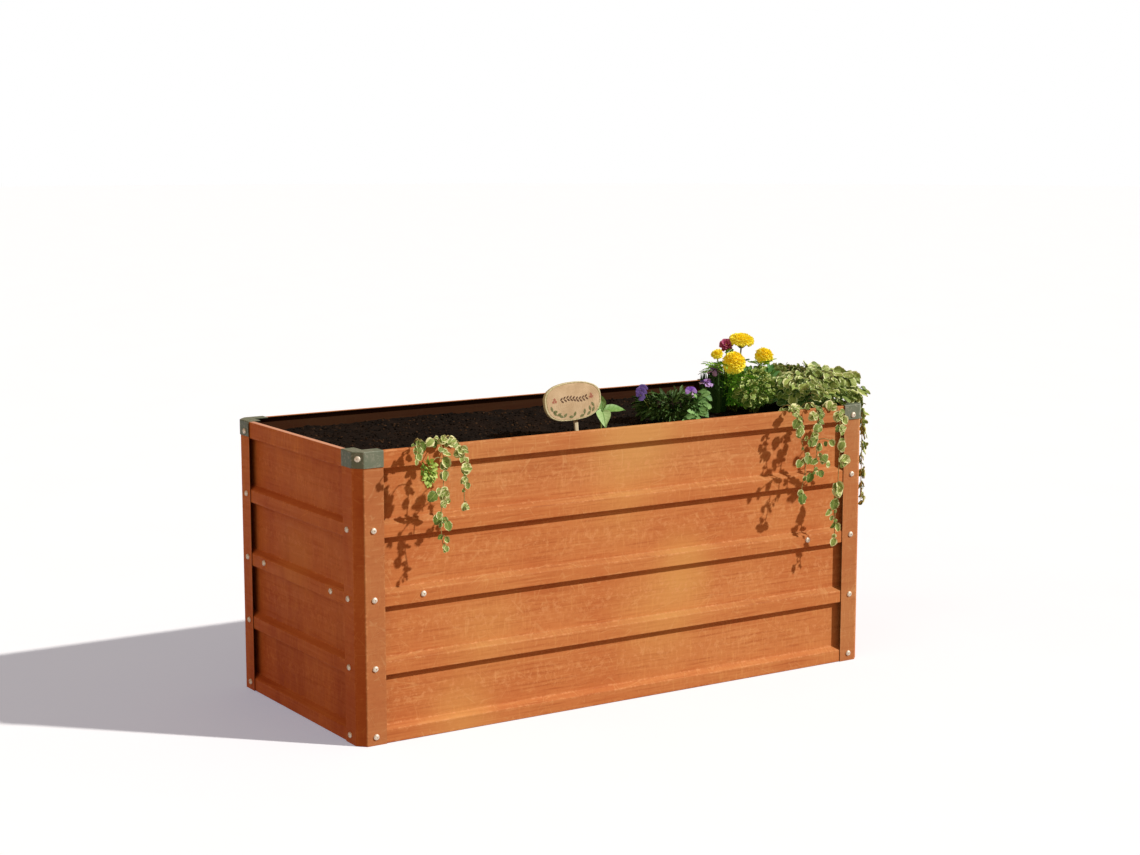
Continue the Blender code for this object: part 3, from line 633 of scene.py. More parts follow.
def bolt_seats():
    """Seat and outward direction of each bolt head."""
    proud = GAP + SHEET
    for corner, (side_x, side_y, _) in CORNERS.items():
        long_x = side_x * (HALF_LENGTH - BOLT_LONG)
        short_y = side_y * (HALF_WIDTH - BOLT_SHORT)
        for height in FLANGE_BOLT_HEIGHTS:
            yield (long_x, side_y * HALF_WIDTH, height), (0, side_y, 0)
            yield (side_x * HALF_LENGTH, short_y, height), (side_x, 0, 0)
        leg = BRACE_LEFT_LEG if side_x < 0 else BRACE_RIGHT_LEG
        face_x = side_x * (HALF_LENGTH - PANEL_INSET)
        face_y = side_y * (HALF_WIDTH - PANEL_INSET)
        yield (side_x * (HALF_LENGTH - leg), face_y, BRACE_BOLT_Z), (0, side_y, 0)
        yield (face_x, side_y * (HALF_WIDTH - BRACE_SIDE_LEG), BRACE_BOLT_Z), (side_x, 0, 0)
        if corner == "front_left":
            set_in = CHAMFER / 2 - proud / math.sqrt(2)
            yield (-HALF_LENGTH + set_in, -HALF_WIDTH + set_in, CHAMFER_BOLT_Z), (-1, -1, 0)
        else:
            yield (long_x, side_y * (HALF_WIDTH + proud), CAP_BOLT_Z), (0, side_y, 0)
            yield (side_x * (HALF_LENGTH + proud), short_y, CAP_BOLT_Z), (side_x, 0, 0)


def spot_mesh(name, spots):
    """Guide points, each with the turn, size, kind and tint of what stands on it."""
    places, turns, sizes, kinds, tints = zip(*spots)
    mesh = bpy.data.meshes.new(name)
    mesh.from_pydata(places, [], [])
    store(mesh, "turn", turns, "FLOAT_VECTOR")
    store(mesh, "size", sizes)
    store(mesh, "kind", kinds, "INT")
    store(mesh, "tint", tints)
    return mesh


def stand_recipe():
    """One of three shapes on each guide point, turned and sized as the point says, a little uneven."""
    recipe = Recipe("stand_on_points", **SHAPES, Wobble=0.0, Seed=1)
    given = recipe.given
    turn, size, kind = [recipe.geo("InputNamedAttribute", {"Name": name}, data_type=number)
                        for name, number in (("turn", "FLOAT_VECTOR"), ("size", "FLOAT"), ("kind", "INT"))]
    copies = recipe.copies(given["Geometry"], recipe.euler(turn), size, kind)
    most = recipe.vector(given["Wobble"], given["Wobble"], given["Wobble"])
    sway = recipe.chance(recipe.scaled(most, -1.0), most, 0, "FLOAT_VECTOR")
    return recipe.end(recipe.geo("RotateInstances", {
        "Instances": copies, "Rotation": recipe.euler(sway), "Local Space": True}))


def stood(name, spots, shapes, material, wobble=0.0, seed=1):
    """A piece made of copies of up to three shapes, on guide spots."""
    return STAND.fill(name, spot_mesh(name, spots), shapes, material, Wobble=wobble, Seed=seed)


def build_bolts(metal):
    shape = turned("bolt", bolt_profile(), BOLT_STEPS)
    spots = []
    for order, (seat, direction) in enumerate(bolt_seats()):
        spots.append((seat, looking(direction).to_euler(), 1.0, 0, (order * 0.37) % 1.0))
    bolts = stood("bolts", spots, [shape], metal)
    soften(bolts.data, 40)
    cap_bolts = [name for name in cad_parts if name.startswith("cap_bolt_")]
    hand_over(bolts, "bolt_steel", *cap_bolts)


# ---- steel finishes

def scratch(finish, place, degrees, scale, width):
    """Thin, nearly straight lines at an angle on the walls, broken into strokes."""
    angle = math.radians(degrees)
    along, across, height = place
    run = along * math.cos(angle) + height * math.sin(angle)
    rise = height * math.cos(angle) - along * math.sin(angle)
    shift = degrees * 0.37
    wander = finish.noise(finish.vector(run * scale * 0.16 + shift, across, rise * scale), 1.0, 1.0)
    line = abs(wander - 0.5).ease(0.0, width, 1.0, 0.0)
    strokes = finish.noise(finish.vector(run * scale * 0.9, across + shift, rise * scale * 1.4), 1.0, 1.0)
    return line * strokes.ease(0.53, 0.62)


# Middle, reach and strength of each bleached patch
BLEACHED = [((0.13, -0.26, 0.235), 0.12, 0.65), ((-0.02, -0.26, 0.40), 0.12, 0.35),
            ((0.02, -0.29, 0.52), 0.17, 0.60), ((0.09, -0.26, 0.16), 0.16, 0.45),
            ((-0.32, -0.26, 0.18), 0.13, 0.30), ((-0.38, -0.26, 0.03), 0.10, 0.45),
            ((-0.60, 0.02, 0.30), 0.10, 0.35)]
# Angle in degrees, scale and width of each set of scratches
SCRATCHES = [(4, 26.0, 0.010), (84, 30.0, 0.010), (-37, 22.0, 0.007), (51, 34.0, 0.009), (-68, 40.0, 0.010),
             (12, 60.0, 0.016)]
VALLEY_X = HALF_LENGTH - PANEL_INSET - RIB_DEPTH
FLANGE_X = HALF_LENGTH - POST_REACH


def painted_steel():
    """Rust-orange paint over brushed sheet, with fine pale scratches and bleached patches, and painted shade
    and highlights: on upward slopes, on the left wall, along its top edge and on the inner faces.
    """
    finish = Finish("painted_steel", 0.5, specular=0.08)
    place = finish.place()
    split = finish.split(place)
    facing = finish.facing()
    sideways = abs(facing["X"]).ease(0.74, 0.78)
    along = split["X"] * (1.0 - sideways) + split["Y"] * sideways
    across = split["Y"] * (1.0 - sideways) + split["X"] * sideways
    height = split["Z"]
    # The left wall, which stands in shade; its colour gets painted shade below
    shaded_left_wall = split["X"].ease(0.0025 - VALLEY_X, -VALLEY_X)
    calm = 1.0 - finish.math("MAXIMUM", finish.attribute("post") * 0.65, shaded_left_wall * 0.45)
    grain = finish.noise(finish.vector(along * 8.0, across * 4.0, height * 210.0), 1.0, 2.0, 0.6)
    streak = finish.noise(finish.vector(along * 2.2, across, height * 75.0), 1.0, 3.0, 0.55)
    comb = finish.noise(finish.vector(along * 210.0, across * 4.0, height * 30.0), 1.0)
    cloud = finish.noise(place, 5.0)
    mottle = finish.noise(place, 26.0, 3.0, 0.6)
    finish.ground(cloud.ease(0.3, 0.7), (198, 117, 67), (206, 131, 77))
    finish.coat(mottle.ease(0.35, 0.75) * 0.25, 212, 141, 82)
    finish.coat(streak.ease(0.52, 0.8) * calm * 0.55, 182, 101, 55)
    finish.coat(streak.ease(0.46, 0.2) * 0.4, 219, 148, 93)
    finish.coat(grain.ease(0.5, 0.75) * calm * 0.55, 168, 86, 44)
    finish.coat(grain.ease(0.47, 0.22) * calm * 0.50, 226, 160, 102)
    finish.coat(finish.noise(place, 160.0, 2.0, 0.6).ease(0.5, 0.75) * 0.35, 182, 103, 57)
    finish.coat(comb.ease(0.52, 0.72) * cloud.ease(0.35, 0.6) * 0.40, 222, 158, 95)
    for spot, reach, amount in BLEACHED:
        away = finish.vector_math("DISTANCE", place, spot)["Value"]
        finish.coat((away + (cloud - 0.5) * 0.12).ease(reach, 0.01) * amount, 221, 164, 94)
    lines = 0.0
    for degrees, scale, width in SCRATCHES:
        lines = scratch(finish, (along, across, height), degrees, scale, width) + lines
    lines = finish.math("MINIMUM", lines, 1.0)
    finish.coat(lines * 0.24, 236, 181, 121)
    finish.dye(height.ease(0.40, 0.50) * split["X"].ease(-0.48, -0.38), 1.0, 1.11, 1.20)
    # Painted shade: faces that slope upwards are darkened, where the sun lights them more brightly
    upward_slope_shade = facing["Z"].ease(0.20, 0.40) * facing["Z"].ease(0.95, 0.90)
    upward_slope_shade = upward_slope_shade * (1.0 - shaded_left_wall) * (0.4 + 0.6 * height.ease(0.05, 0.10))
    finish.dye(upward_slope_shade, 0.84, 0.92, 0.95)
    flange = abs(split["X"]).ease(FLANGE_X - 0.0005, FLANGE_X + 0.0005)
    flange = flange * split["Y"].ease(0.0025 - HALF_WIDTH, 0.001 - HALF_WIDTH)
    finish.dye(flange, 0.85, 0.93, 1.06)
    # Worn paint along the marked edges, lighter; along the ribs' bends it also serves as a painted highlight
    wear = finish.attribute("edge") * finish.noise(place, 90.0, 3.0, 0.7).ease(0.48, 0.66)
    finish.coat(wear * 0.5, 228, 163, 109)
    drape = finish.noise(finish.vector(along * 13.0, across, height * 2.5), 1.0, 3.0, 0.6)
    # Painted shade: the left wall is made deeper and redder, as it stands in shade
    finish.dye(shaded_left_wall, 0.98, 0.76, 0.60)
    finish.dye(shaded_left_wall * drape.ease(0.48, 0.72), 0.84, 0.72, 0.66)
    finish.dye(shaded_left_wall * drape.ease(0.46, 0.25), 1.10, 1.16, 1.05)
    # Painted highlight: a pale line along the left wall's top edge, where light catches it
    painted_rim_highlight = shaded_left_wall * facing["Z"].ease(0.6, 0.9) * height.ease(HEIGHT - 0.003, HEIGHT - 0.001)
    finish.coat(painted_rim_highlight * 0.55, 236, 196, 172)
    # Darker towards the bottom of the left wall
    finish.dye(shaded_left_wall * height.ease(0.32, 0.0), 0.80, 0.70, 0.66)
    # Painted shade: faces that look at the soil are near-black brown, standing in for the shade inside the
    # bed
    finish.coat(finish.attribute("inside") * 0.94, 31, 11, 4)
    finish.give("Roughness", 0.46 + grain * 0.18 + lines * 0.1)
    return finish.done(grain * 0.5 + streak * 0.4 + mottle * 0.6 - lines * 0.15, 0.0005)


def cap_paint():
    """Grey-green paint with a fine speckle, with painted shade on the faces that look left, rubbed at the
    edges.
    """
    finish = Finish("cap_paint", 0.5, specular=0.25)
    place = finish.place()
    speckle = finish.noise(place, 600.0)
    cloud = finish.noise(place, 22.0)
    finish.ground(cloud.ease(0.3, 0.7), (106, 118, 100), (118, 126, 108))
    finish.coat(speckle.ease(0.5, 0.8) * 0.3, 134, 140, 122)
    # Painted shade: faces that look left are darker
    finish.dye(finish.facing()["X"].ease(-0.75, -0.9), 0.76, 0.88, 1.0)
    rub = finish.attribute("edge") * finish.noise(place, 160.0, 3.0, 0.7).ease(0.5, 0.62)
    finish.coat(rub * 0.5, 168, 168, 152)
    finish.give("Roughness", 0.42 + cloud * 0.16)
    return finish.done(speckle, 0.0001)


def bright_steel(name, shade, dull, metallic):
    """Zinc-plated steel, a little cloudy."""
    finish = Finish(name, dull, metallic=metallic)
    cloud = finish.noise(finish.place(), 260.0, 3.0, 0.6)
    finish.ground(cloud.ease(0.35, 0.65), shade, [part * 1.10 for part in shade])
    finish.give("Roughness", dull + cloud * 0.2)
    return finish.done(cloud, 0.0002)


# ---- stage

def build_stage():
    bm = bmesh.new()
    bmesh.ops.create_circle(bm, cap_ends=True, segments=128, radius=FLOOR_SIZE / 2)
    floor = new_object("floor", mesh_from("floor", bm))
    floor.data.transform(Matrix.Translation((0, 0, -FLOOR_DROP)))
    finish = Finish("floor_paint", 0.85, specular=0.1)
    cloud = finish.noise(finish.place(), 3.0)
    finish.give("Base Color", finish.mix(cloud, FLOOR_DULL, FLOOR_PALE))
    finish.give("Emission Color", FLOOR_GLOW)
    finish.give("Emission Strength", 1.0)
    floor.data.materials.append(finish.material)
    floor.visible_diffuse = False


def add_sun(name, towards, strength, spread, colour):
    light = bpy.data.lights.new(name, "SUN")
    light.energy = strength
    light.angle = spread
    light.color = colour
    sun = new_object(name, light)
    sun.rotation_euler = looking(towards).to_euler()


def light_room():
    """Even pale light all round, behind a white backdrop."""
    world = bpy.data.worlds.new("room")
    world.use_nodes = True
    bpy.context.scene.world = world
    room = Tree(world.node_tree)
    room.tree.nodes.clear()
    fill = room.add("ShaderNodeBackground", {"Color": (*FILL_COLOUR, 1.0), "Strength": FILL_STRENGTH})
    backdrop = room.add("ShaderNodeBackground", {"Color": (1, 1, 1, 1), "Strength": BACKDROP_STRENGTH})
    seen = room.add("ShaderNodeLightPath")["Is Camera Ray"]
    both = room.add("ShaderNodeMixShader", {0: seen, 1: fill, 2: backdrop})
    room.add("ShaderNodeOutputWorld", {"Surface": both})
    bpy.context.scene.view_settings.view_transform = "Standard"


def add_camera():
    lens = bpy.data.cameras.new("camera")
    lens.lens = CAMERA_LENS
    lens.sensor_width = 36.0
    camera = new_object("camera", lens)
    camera.location = CAMERA_PLACE
    camera.rotation_euler = (math.pi / 2 - CAMERA_DOWN, 0.0, -CAMERA_TURN)
    bpy.context.scene.camera = camera


# ---- leaf shapes

class Shape:
    """Points and faces with leaf marks, gathered before they become a mesh."""

    def __init__(self):
        self.points = []
        self.faces = []
        self.side = []
        self.along = []

    def point(self, place, side=0.0, along=-0.2):
        self.points.append(Vector(place))
        self.side.append(side)
        self.along.append(along)
        return len(self.points) - 1

    def add(self, other, matrix):
        """Copy another shape in; a mirrored copy has its faces turned back."""
        first = len(self.points)
        flipped = matrix.to_3x3().determinant() < 0
        self.points += [matrix @ point for point in other.points]
        self.side += other.side
        self.along += other.along
        for face in other.faces:
            corners = [first + corner for corner in face]
            self.faces.append(corners[::-1] if flipped else corners)
        return self

    def tube(self, route, radius, sides=4, tip=0.6):
        """Closed tapering tube along a route."""
        rings = []
        for order, place in enumerate(route):
            ahead = Vector(route[min(order + 1, len(route) - 1)])
            ahead -= Vector(route[max(order - 1, 0)])
            turn = looking(ahead).to_matrix()
            girth = radius * (1 - (1 - tip) * order / (len(route) - 1))
            ring = []
            for corner in range(sides):
                ring.append(self.point(Vector(place) + turn @ (ray(2 * math.pi * corner / sides) * girth)))
            rings.append(ring)
        for low, high in zip(rings, rings[1:]):
            for corner in range(sides):
                following = (corner + 1) % sides
                self.faces.append([low[corner], low[following], high[following], high[corner]])
        self.faces.append(rings[0][::-1])
        self.faces.append(rings[-1])
        return self

    def mesh(self, name):
        mesh = bpy.data.meshes.new(name)
        mesh.from_pydata(self.points, [], self.faces)
        store(mesh, "side", self.side)
        store(mesh, "along", self.along)
        soften(mesh, 55)
        return mesh


def leaf(length, width, outline, lanes=5, cup=0.0, arch=0.0, ruffle=0.0, uneven=0.0, stalk=0.0,
         thick=0.0007, seed=1):
    """Closed thin leaf from its base at the origin to its tip at +Y, upper side +Z."""
    luck = random.Random(seed)
    shape = Shape()
    upper = []
    lower = []
    for along, share in outline:
        top_row = []
        for lane in range(lanes):
            side = 2 * lane / (lanes - 1) - 1
            reach = share * (1 + luck.uniform(-uneven, uneven)) * abs(side)
            drift = luck.uniform(-uneven, uneven) * 0.3 * abs(side)
            wave = math.sin(along * 11 + seed * 1.7) * abs(side) * side
            lift = cup * side * side * width / 2 - arch * along * along * length + ruffle * width * wave
            place = (math.copysign(reach, side) * width / 2, (along + drift * 0.3) * length, lift)
            top_row.append(shape.point(place, side, along))
        upper.append(top_row)
        middle = [shape.point(shape.points[corner] - UP * thick, shape.side[corner], along)
                  for corner in top_row[1:-1]]
        lower.append([top_row[0], *middle, top_row[-1]])
    base = shape.point((0, 0, 0), 0.0, 0.0)
    tip = shape.point((0, length, -arch * length), 0.0, 1.0)
    for rows, turn in ((upper, 1), (lower, -1)):
        for near, far in zip(rows, rows[1:]):
            for lane in range(lanes - 1):
                corners = [near[lane], near[lane + 1], far[lane + 1], far[lane]]
                shape.faces.append(corners[::turn])
        for lane in range(lanes - 1):
            shape.faces.append([base, rows[0][lane + 1], rows[0][lane]][::turn])
            shape.faces.append([rows[-1][lane], rows[-1][lane + 1], tip][::turn])
    if stalk:
        shape.tube([(0, -stalk, -0.35 * stalk), (0, -0.45 * stalk, -0.10 * stalk),
                    (0, 0.06 * length, -thick)], 0.0006, 3, 0.8)
    return shape


def rounded(rows, teeth=0.0, blunt=0.55, lean=0.8):
    """Outline of a roundish leaf, with shallow teeth along its sides."""
    outline = []
    for row in range(1, rows + 1):
        along = (1 - math.cos(math.pi * row / (rows + 1))) / 2
        share = math.sin(math.pi * along ** lean) ** blunt
        outline.append((along, share * (1 - teeth * (row % 2))))
    return outline


LANCE_OUTLINE = [(0.18, 0.60), (0.38, 0.95), (0.60, 0.98), (0.82, 0.60)]
SPOON_OUTLINE = [(0.20, 0.35), (0.40, 0.66), (0.60, 0.94), (0.80, 0.96), (0.94, 0.62)]
STRAP_OUTLINE = [(0.10, 0.85), (0.35, 1.0), (0.62, 0.92), (0.85, 0.60)]
PETAL_OUTLINE = [(0.30, 0.55), (0.70, 1.0), (0.93, 0.80)]


def round_leaves(length, stalk=0.0, ruffle=0.05, thick=0.0007, rows=8, teeth=0.10):
    """Three roundish scalloped leaves, one flat, one cupped and one arched."""
    kinds = ((0.92, 0.20, 0.16, 3), (0.80, 0.45, 0.26, 8), (1.0, -0.15, 0.34, 14))
    return [leaf(length, length * width, rounded(rows, teeth), cup=cup, arch=arch, ruffle=ruffle,
                 uneven=0.05, stalk=stalk, thick=thick, seed=seed) for width, cup, arch, seed in kinds]


def leaf_set(length, width, outline, bends, **common):
    """Leaves of one kind, each with its own cup, arch and seed."""
    return [leaf(length, width, outline, cup=cup, arch=arch, seed=seed, **common)
            for cup, arch, seed in bends]


def fern_leaf(length, pairs, leaflet, seed):
    """Compound leaf: toothed leaflets in pairs along a thin rib, and one at its tip."""
    luck = random.Random(seed)
    shape = Shape()
    route = [Vector((0, length * step / 6, -0.30 * length * (step / 6) ** 2)) for step in range(7)]
    shape.tube(route, 0.0008, 3, 0.5)
    blade = leaf(leaflet, leaflet * 0.34, LANCE_OUTLINE, lanes=3, cup=0.3, arch=0.15, thick=0.0005, seed=seed)
    for pair in range(pairs):
        share = 0.22 + 0.72 * pair / (pairs - 1)
        place = Vector((0, length * share, -0.30 * length * share ** 2))
        size = math.sin(math.pi * (0.25 + 0.62 * share)) * luck.uniform(0.85, 1.1)
        for hand in (-1, 1):
            turn = turn_by(hand * luck.uniform(48, 66), "Z")
            lift = turn_by(luck.uniform(-14, 10), "X")
            shape.add(blade, Matrix.Translation(place) @ turn @ lift @ Matrix.Scale(size, 4))
    return shape.add(blade, Matrix.Translation(route[-1]) @ Matrix.Rotation(-0.5, 4, "X"))


# ---- growing recipes

GOLDEN_ANGLE = math.radians(137.508)
NEXT_TURN = 2.4            # radians from one leaf or stem to the next round a plant
ROOT_DEPTH = 0.500
KNEE_HEIGHT = 0.545        # where stems that leave the soil bend over


def spread_recipe():
    """Leaves over a guide surface: spaced apart, pointing away from the middle, upper side out."""
    recipe = Recipe("spread_over_surface", **SHAPES, Centre=NOWHERE, Spacing=0.01, Density=5000.0,
                    Smallest=0.8, Largest=1.1, Depth=0.0, Upright=0.5, Droop=0.2, Spike=0.3, Facing=NOWHERE,
                    Disorder=0.3, Seed=1)
    given = recipe.given
    scattered = recipe.geo("DistributePointsOnFaces", {
        "Mesh": given["Geometry"], "Distance Min": given["Spacing"], "Density Max": given["Density"],
        "Seed": given["Seed"]}, distribute_method="POISSON")
    normal = scattered["Normal"]
    sunk = recipe.scaled(normal, recipe.chance(0.0, 1.0, 11) * given["Depth"] * -1.0)
    points = recipe.geo("SetPosition", {"Geometry": scattered, "Offset": sunk})
    lean = recipe.summed(recipe.scaled(normal, 0.6), recipe.vector(0.0, 0.0, given["Upright"]),
                         given["Facing"], recipe.scaled(recipe.any_way(12), given["Disorder"]))
    away = recipe.vector_math("SUBTRACT", recipe.geo("InputPosition"), given["Centre"])
    level = recipe.vector_math("NORMALIZE", recipe.vector_math("MULTIPLY", away, (1.0, 1.0, 0.0)))
    heading = recipe.summed(level, recipe.vector(0.0, 0.0, given["Droop"] * -1.0),
                            recipe.scaled(normal, given["Spike"]),
                            recipe.scaled(recipe.any_way(13), given["Disorder"]))
    size = recipe.chance(given["Smallest"], given["Largest"], 14)
    copies = recipe.copies(points, recipe.aim(heading, lean), size, recipe.chance(0, 2, 15, "INT"))
    return recipe.end(recipe.tinted(copies, 16))


def bloom_recipe():
    """Petals on a dome in a spiral, each turned on by the golden angle."""
    recipe = Recipe("petals_in_spiral", **SHAPES, Petals=80, Radius=0.01, Height=0.01, Spread=1.6, Inner=0.6,
                    Outer=1.0, Open=0.2, Place=NOWHERE, Turn=NOWHERE, Seed=1)
    given = recipe.given
    points = recipe.geo("Points", {"Count": given["Petals"]})
    index = recipe.geo("InputIndex")
    share = (index + 0.5) / given["Petals"]
    polar = recipe.math("ARCCOSINE", 1.0 - share * (1.0 - recipe.math("COSINE", given["Spread"])))
    around = index * GOLDEN_ANGLE
    flat = recipe.math("SINE", polar)
    rise = recipe.math("COSINE", polar)
    east = recipe.math("COSINE", around)
    north = recipe.math("SINE", around)
    radius = given["Radius"]
    place = recipe.vector(flat * east * radius, flat * north * radius, rise * given["Height"])
    points = recipe.geo("SetPosition", {"Geometry": points, "Position": place})
    tilt = polar + given["Open"] * recipe.chance(-0.3, 1.0, 21)
    lying = recipe.math("SINE", tilt)
    standing = recipe.math("COSINE", tilt)
    heading = recipe.summed(recipe.vector(lying * east, lying * north, standing),
                            recipe.scaled(recipe.any_way(22), 0.16))
    upper = recipe.vector(standing * east * -1.0, standing * north * -1.0, lying)
    size = (given["Inner"] + (given["Outer"] - given["Inner"]) * share) * recipe.chance(0.88, 1.12, 23)
    copies = recipe.copies(points, recipe.aim(heading, upper), size, recipe.chance(0, 2, 24, "INT"))
    copies = recipe.geo("RealizeInstances", {"Geometry": recipe.tinted(copies, 25)})
    return recipe.end(recipe.geo("Transform", {
        "Geometry": copies, "Translation": given["Place"], "Rotation": recipe.euler(given["Turn"])}))


def stem_recipe():
    """Round stems along the guide's paths, thinner towards their tips."""
    recipe = Recipe("stems_on_paths", Radius=0.001, Tip=0.6, Sides=6)
    given = recipe.given
    paths = recipe.geo("MeshToCurve", {"Mesh": given["Geometry"]})
    girth = 1.0 - (1.0 - given["Tip"]) * recipe.geo("SplineParameter")["Factor"]
    paths = recipe.geo("SetCurveRadius", {"Curve": paths, "Radius": girth})
    ring = recipe.geo("CurvePrimitiveCircle", {
        "Resolution": given["Sides"], "Radius": given["Radius"]}, mode="RADIUS")
    stems = recipe.geo("CurveToMesh", {"Curve": paths, "Profile Curve": ring, "Fill Caps": True})
    return recipe.end(recipe.geo("SetShadeSmooth", {"Geometry": stems}))


def stems(name, routes, radius, material, tip=0.6, sides=6):
    """A piece made of round stems along routes."""
    points = []
    links = []
    for route in routes:
        first = len(points)
        points += route
        links += [(first + step, first + step + 1) for step in range(len(route) - 1)]
    mesh = bpy.data.meshes.new(name)
    mesh.from_pydata(points, links, [])
    return STEMS.run(name, mesh, material, Radius=radius, Tip=tip, Sides=sides)


def smooth_route(points, steps):
    """Points on a smooth curve through the given points."""
    knots = [Vector(point) for point in points]
    knots = [2 * knots[0] - knots[1]] + knots + [2 * knots[-1] - knots[-2]]
    route = []
    for before, start, end, after in zip(knots, knots[1:], knots[2:], knots[3:]):
        for step in range(steps):
            t = step / steps
            route.append(0.5 * (2 * start + (end - before) * t
                                + (2 * before - 5 * start + 4 * end - after) * t ** 2
                                + (3 * start - before - 3 * end + after) * t ** 3))
    route.append(knots[-2])
    return route


def risen(root, end, share, steps):
    """Stem up from its root, bent a share of the way across to its end."""
    knee = [root[axis] * (1 - share) + end[axis] * share for axis in (0, 1)]
    return smooth_route([root, (*knee, KNEE_HEIGHT), end], steps)


def over_disc(count, start=0.0):
    """Number, direction and reach of points spread evenly over a disc."""
    for order in range(count):
        yield order, ray(order * NEXT_TURN + start), math.sqrt((order + 0.5) / count)


def aimed(heading, upper):
    """Turn that points a leaf's tip along heading and its upper side towards upper."""
    ahead = Vector(heading).normalized()
    sideways = ahead.cross(Vector(upper)).normalized()
    top = sideways.cross(ahead)
    return Matrix((sideways, ahead, top)).transposed().to_euler()


def leaf_spot(luck, order, place, heading, upper, least, most):
    """Guide spot of a leaf between two sizes, of any tint."""
    return place, aimed(heading, upper), luck.uniform(least, most), order % 3, luck.random()


# ---- soil

SOIL_LEVEL = 0.522
SOIL_HALF_X = 0.585
SOIL_HALF_Y = 0.245
SOIL_BRIM_X = 0.5966      # the soil's top spreads over the top rib's lip
SOIL_BRIM_Y = 0.2566
SOIL_BRIM_Z = 0.5187
CRUMBS_HALF_X = 0.588
CRUMBS_HALF_Y = 0.248
CRUMBS_CELLS = (120, 52)
SOIL_CELL = 0.0043
SOIL_CORNER = 0.0135
PLANTS = [((0.208, -0.106), (0.073, 0.064)), ((0.352, -0.053), (0.018, 0.025)),
          ((0.414, -0.085), (0.041, 0.064)), ((0.520, -0.100), (0.054, 0.130))]


def soil_height(x, y):
    """Crumbly level soil, drawn up round the plants."""
    swell = 0.0
    for (plant_x, plant_y), (half_x, half_y) in PLANTS:
        away = ((x - plant_x) / (half_x + 0.05)) ** 2 + ((y - plant_y) / (half_y + 0.05)) ** 2
        swell = max(swell, math.exp(-away))
    coarse = noise.noise(Vector((x * 14, y * 14, 3.0)))
    fine = noise.noise(Vector((x * 37, y * 37, 8.0)))
    clods = noise.noise(Vector((x * 95, y * 95, 1.0)))
    grit = noise.noise(Vector((x * 240, y * 240, 5.0)))
    rough = 0.004 * coarse + 0.003 * fine + 0.0035 * max(clods, -0.2) + 0.0016 * grit
    return max(SOIL_LEVEL + 0.008 * swell + rough, SOIL_BRIM_Z + 0.001)


def soil_grid(half_x, half_y, columns, rows, corner):
    """Surface of the soil, drawn in where a corner is cut off."""
    bm = bmesh.new()
    bmesh.ops.create_grid(bm, x_segments=columns, y_segments=rows, size=1.0)
    for vert in bm.verts:
        x = vert.co.x * half_x
        y = vert.co.y * half_y
        over = abs(x) + abs(y) - (half_x + half_y - corner)
        if over > 0:
            x -= math.copysign(over / 2, x)
            y -= math.copysign(over / 2, y)
        vert.co = (x, y, soil_height(x, y))
    return bm


def build_soil(finish):
    columns = round(2 * SOIL_BRIM_X / SOIL_CELL)
    rows = round(2 * SOIL_BRIM_Y / SOIL_CELL)
    bm = soil_grid(SOIL_BRIM_X, SOIL_BRIM_Y, columns, rows, SOIL_CORNER)
    for height, half_x, half_y in ((SOIL_BRIM_Z, None, None), (SOIL_BRIM_Z, SOIL_HALF_X, SOIL_HALF_Y),
                                   (0.0, SOIL_HALF_X, SOIL_HALF_Y)):
        border = [edge for edge in bm.edges if edge.is_boundary]
        for item in bmesh.ops.extrude_edge_only(bm, edges=border)["geom"]:
            if isinstance(item, bmesh.types.BMVert):
                item.co.z = height
                if half_x:
                    item.co.x = max(-half_x, min(half_x, item.co.x))
                    item.co.y = max(-half_y, min(half_y, item.co.y))
    base = [edge for edge in bm.edges if edge.is_boundary]
    bmesh.ops.contextual_create(bm, geom=base)
    bmesh.ops.recalc_face_normals(bm, faces=bm.faces)
    soil = new_object("soil_bed", mesh_from("soil_bed", bm), finish)
    soften(soil.data, 60)
    hand_over(soil, "soil", "soil")


def crumb(seed, flat=1.0):
    """Small irregular lump."""
    luck = random.Random(seed)
    bm = bmesh.new()
    bmesh.ops.create_icosphere(bm, subdivisions=1, radius=1.0)
    shape = Shape()
    for vert in bm.verts:
        place = vert.co * luck.uniform(0.65, 1.15)
        shape.point((place.x, place.y * (2 - flat), place.z * flat))
    shape.faces = [[vert.index for vert in face.verts] for face in bm.faces]
    bm.free()
    return shape


def build_crumbs(finish):
    """Loose lumps, grit and bits of bark on the soil."""
    guide = mesh_from("soil_guide", soil_grid(CRUMBS_HALF_X, CRUMBS_HALF_Y, *CRUMBS_CELLS, 0.0))
    piece = SPREAD.fill("soil_crumbs", guide, [crumb(5), crumb(6, 0.7), crumb(9, 0.45)], finish,
                        Spacing=0.0042, Density=9000.0, Smallest=0.0009, Largest=0.0036, Depth=0.0,
                        Upright=0.5, Droop=0.0, Spike=0.0, Disorder=0.9, Seed=41)
    piece.data.shade_flat()
    hand_over(piece, "soil")


def dark_soil():
    finish = Finish("dark_soil", 0.95, specular=0.12)
    place = finish.place()
    cloud = finish.noise(place, 22.0, 3.0)
    grit = finish.noise(place, 300.0, 3.0, 0.65)
    finish.ground(cloud.ease(0.35, 0.7), (13, 8, 5), (27, 17, 10))
    finish.coat(grit.ease(0.5, 0.72) * 0.7, 43, 28, 16)
    finish.coat(grit.ease(0.45, 0.25) * 0.8, 9, 6, 4)
    finish.coat(finish.attribute("tint").ease(0.72, 0.95) * 0.8, 74, 52, 33)
    return finish.done(grit + cloud, 0.0015)


# ---- sign

SIGN_PLACE = (-0.062, -0.150, 0.5925)
SIGN_TILT = (-5, -3)       # degrees, backwards and to the left
SIGN_WIDTH = 0.134
SIGN_HEIGHT = 0.077
SIGN_ROUND = 0.78          # 1 is an ellipse, less is squarer
SIGN_THICK = 0.008
STAKE_WIDTH = 0.011
STAKE_SHIFT = 0.0087       # to the right of the board's middle
STAKE_THICK = 0.005
STAKE_DEPTH = 0.070
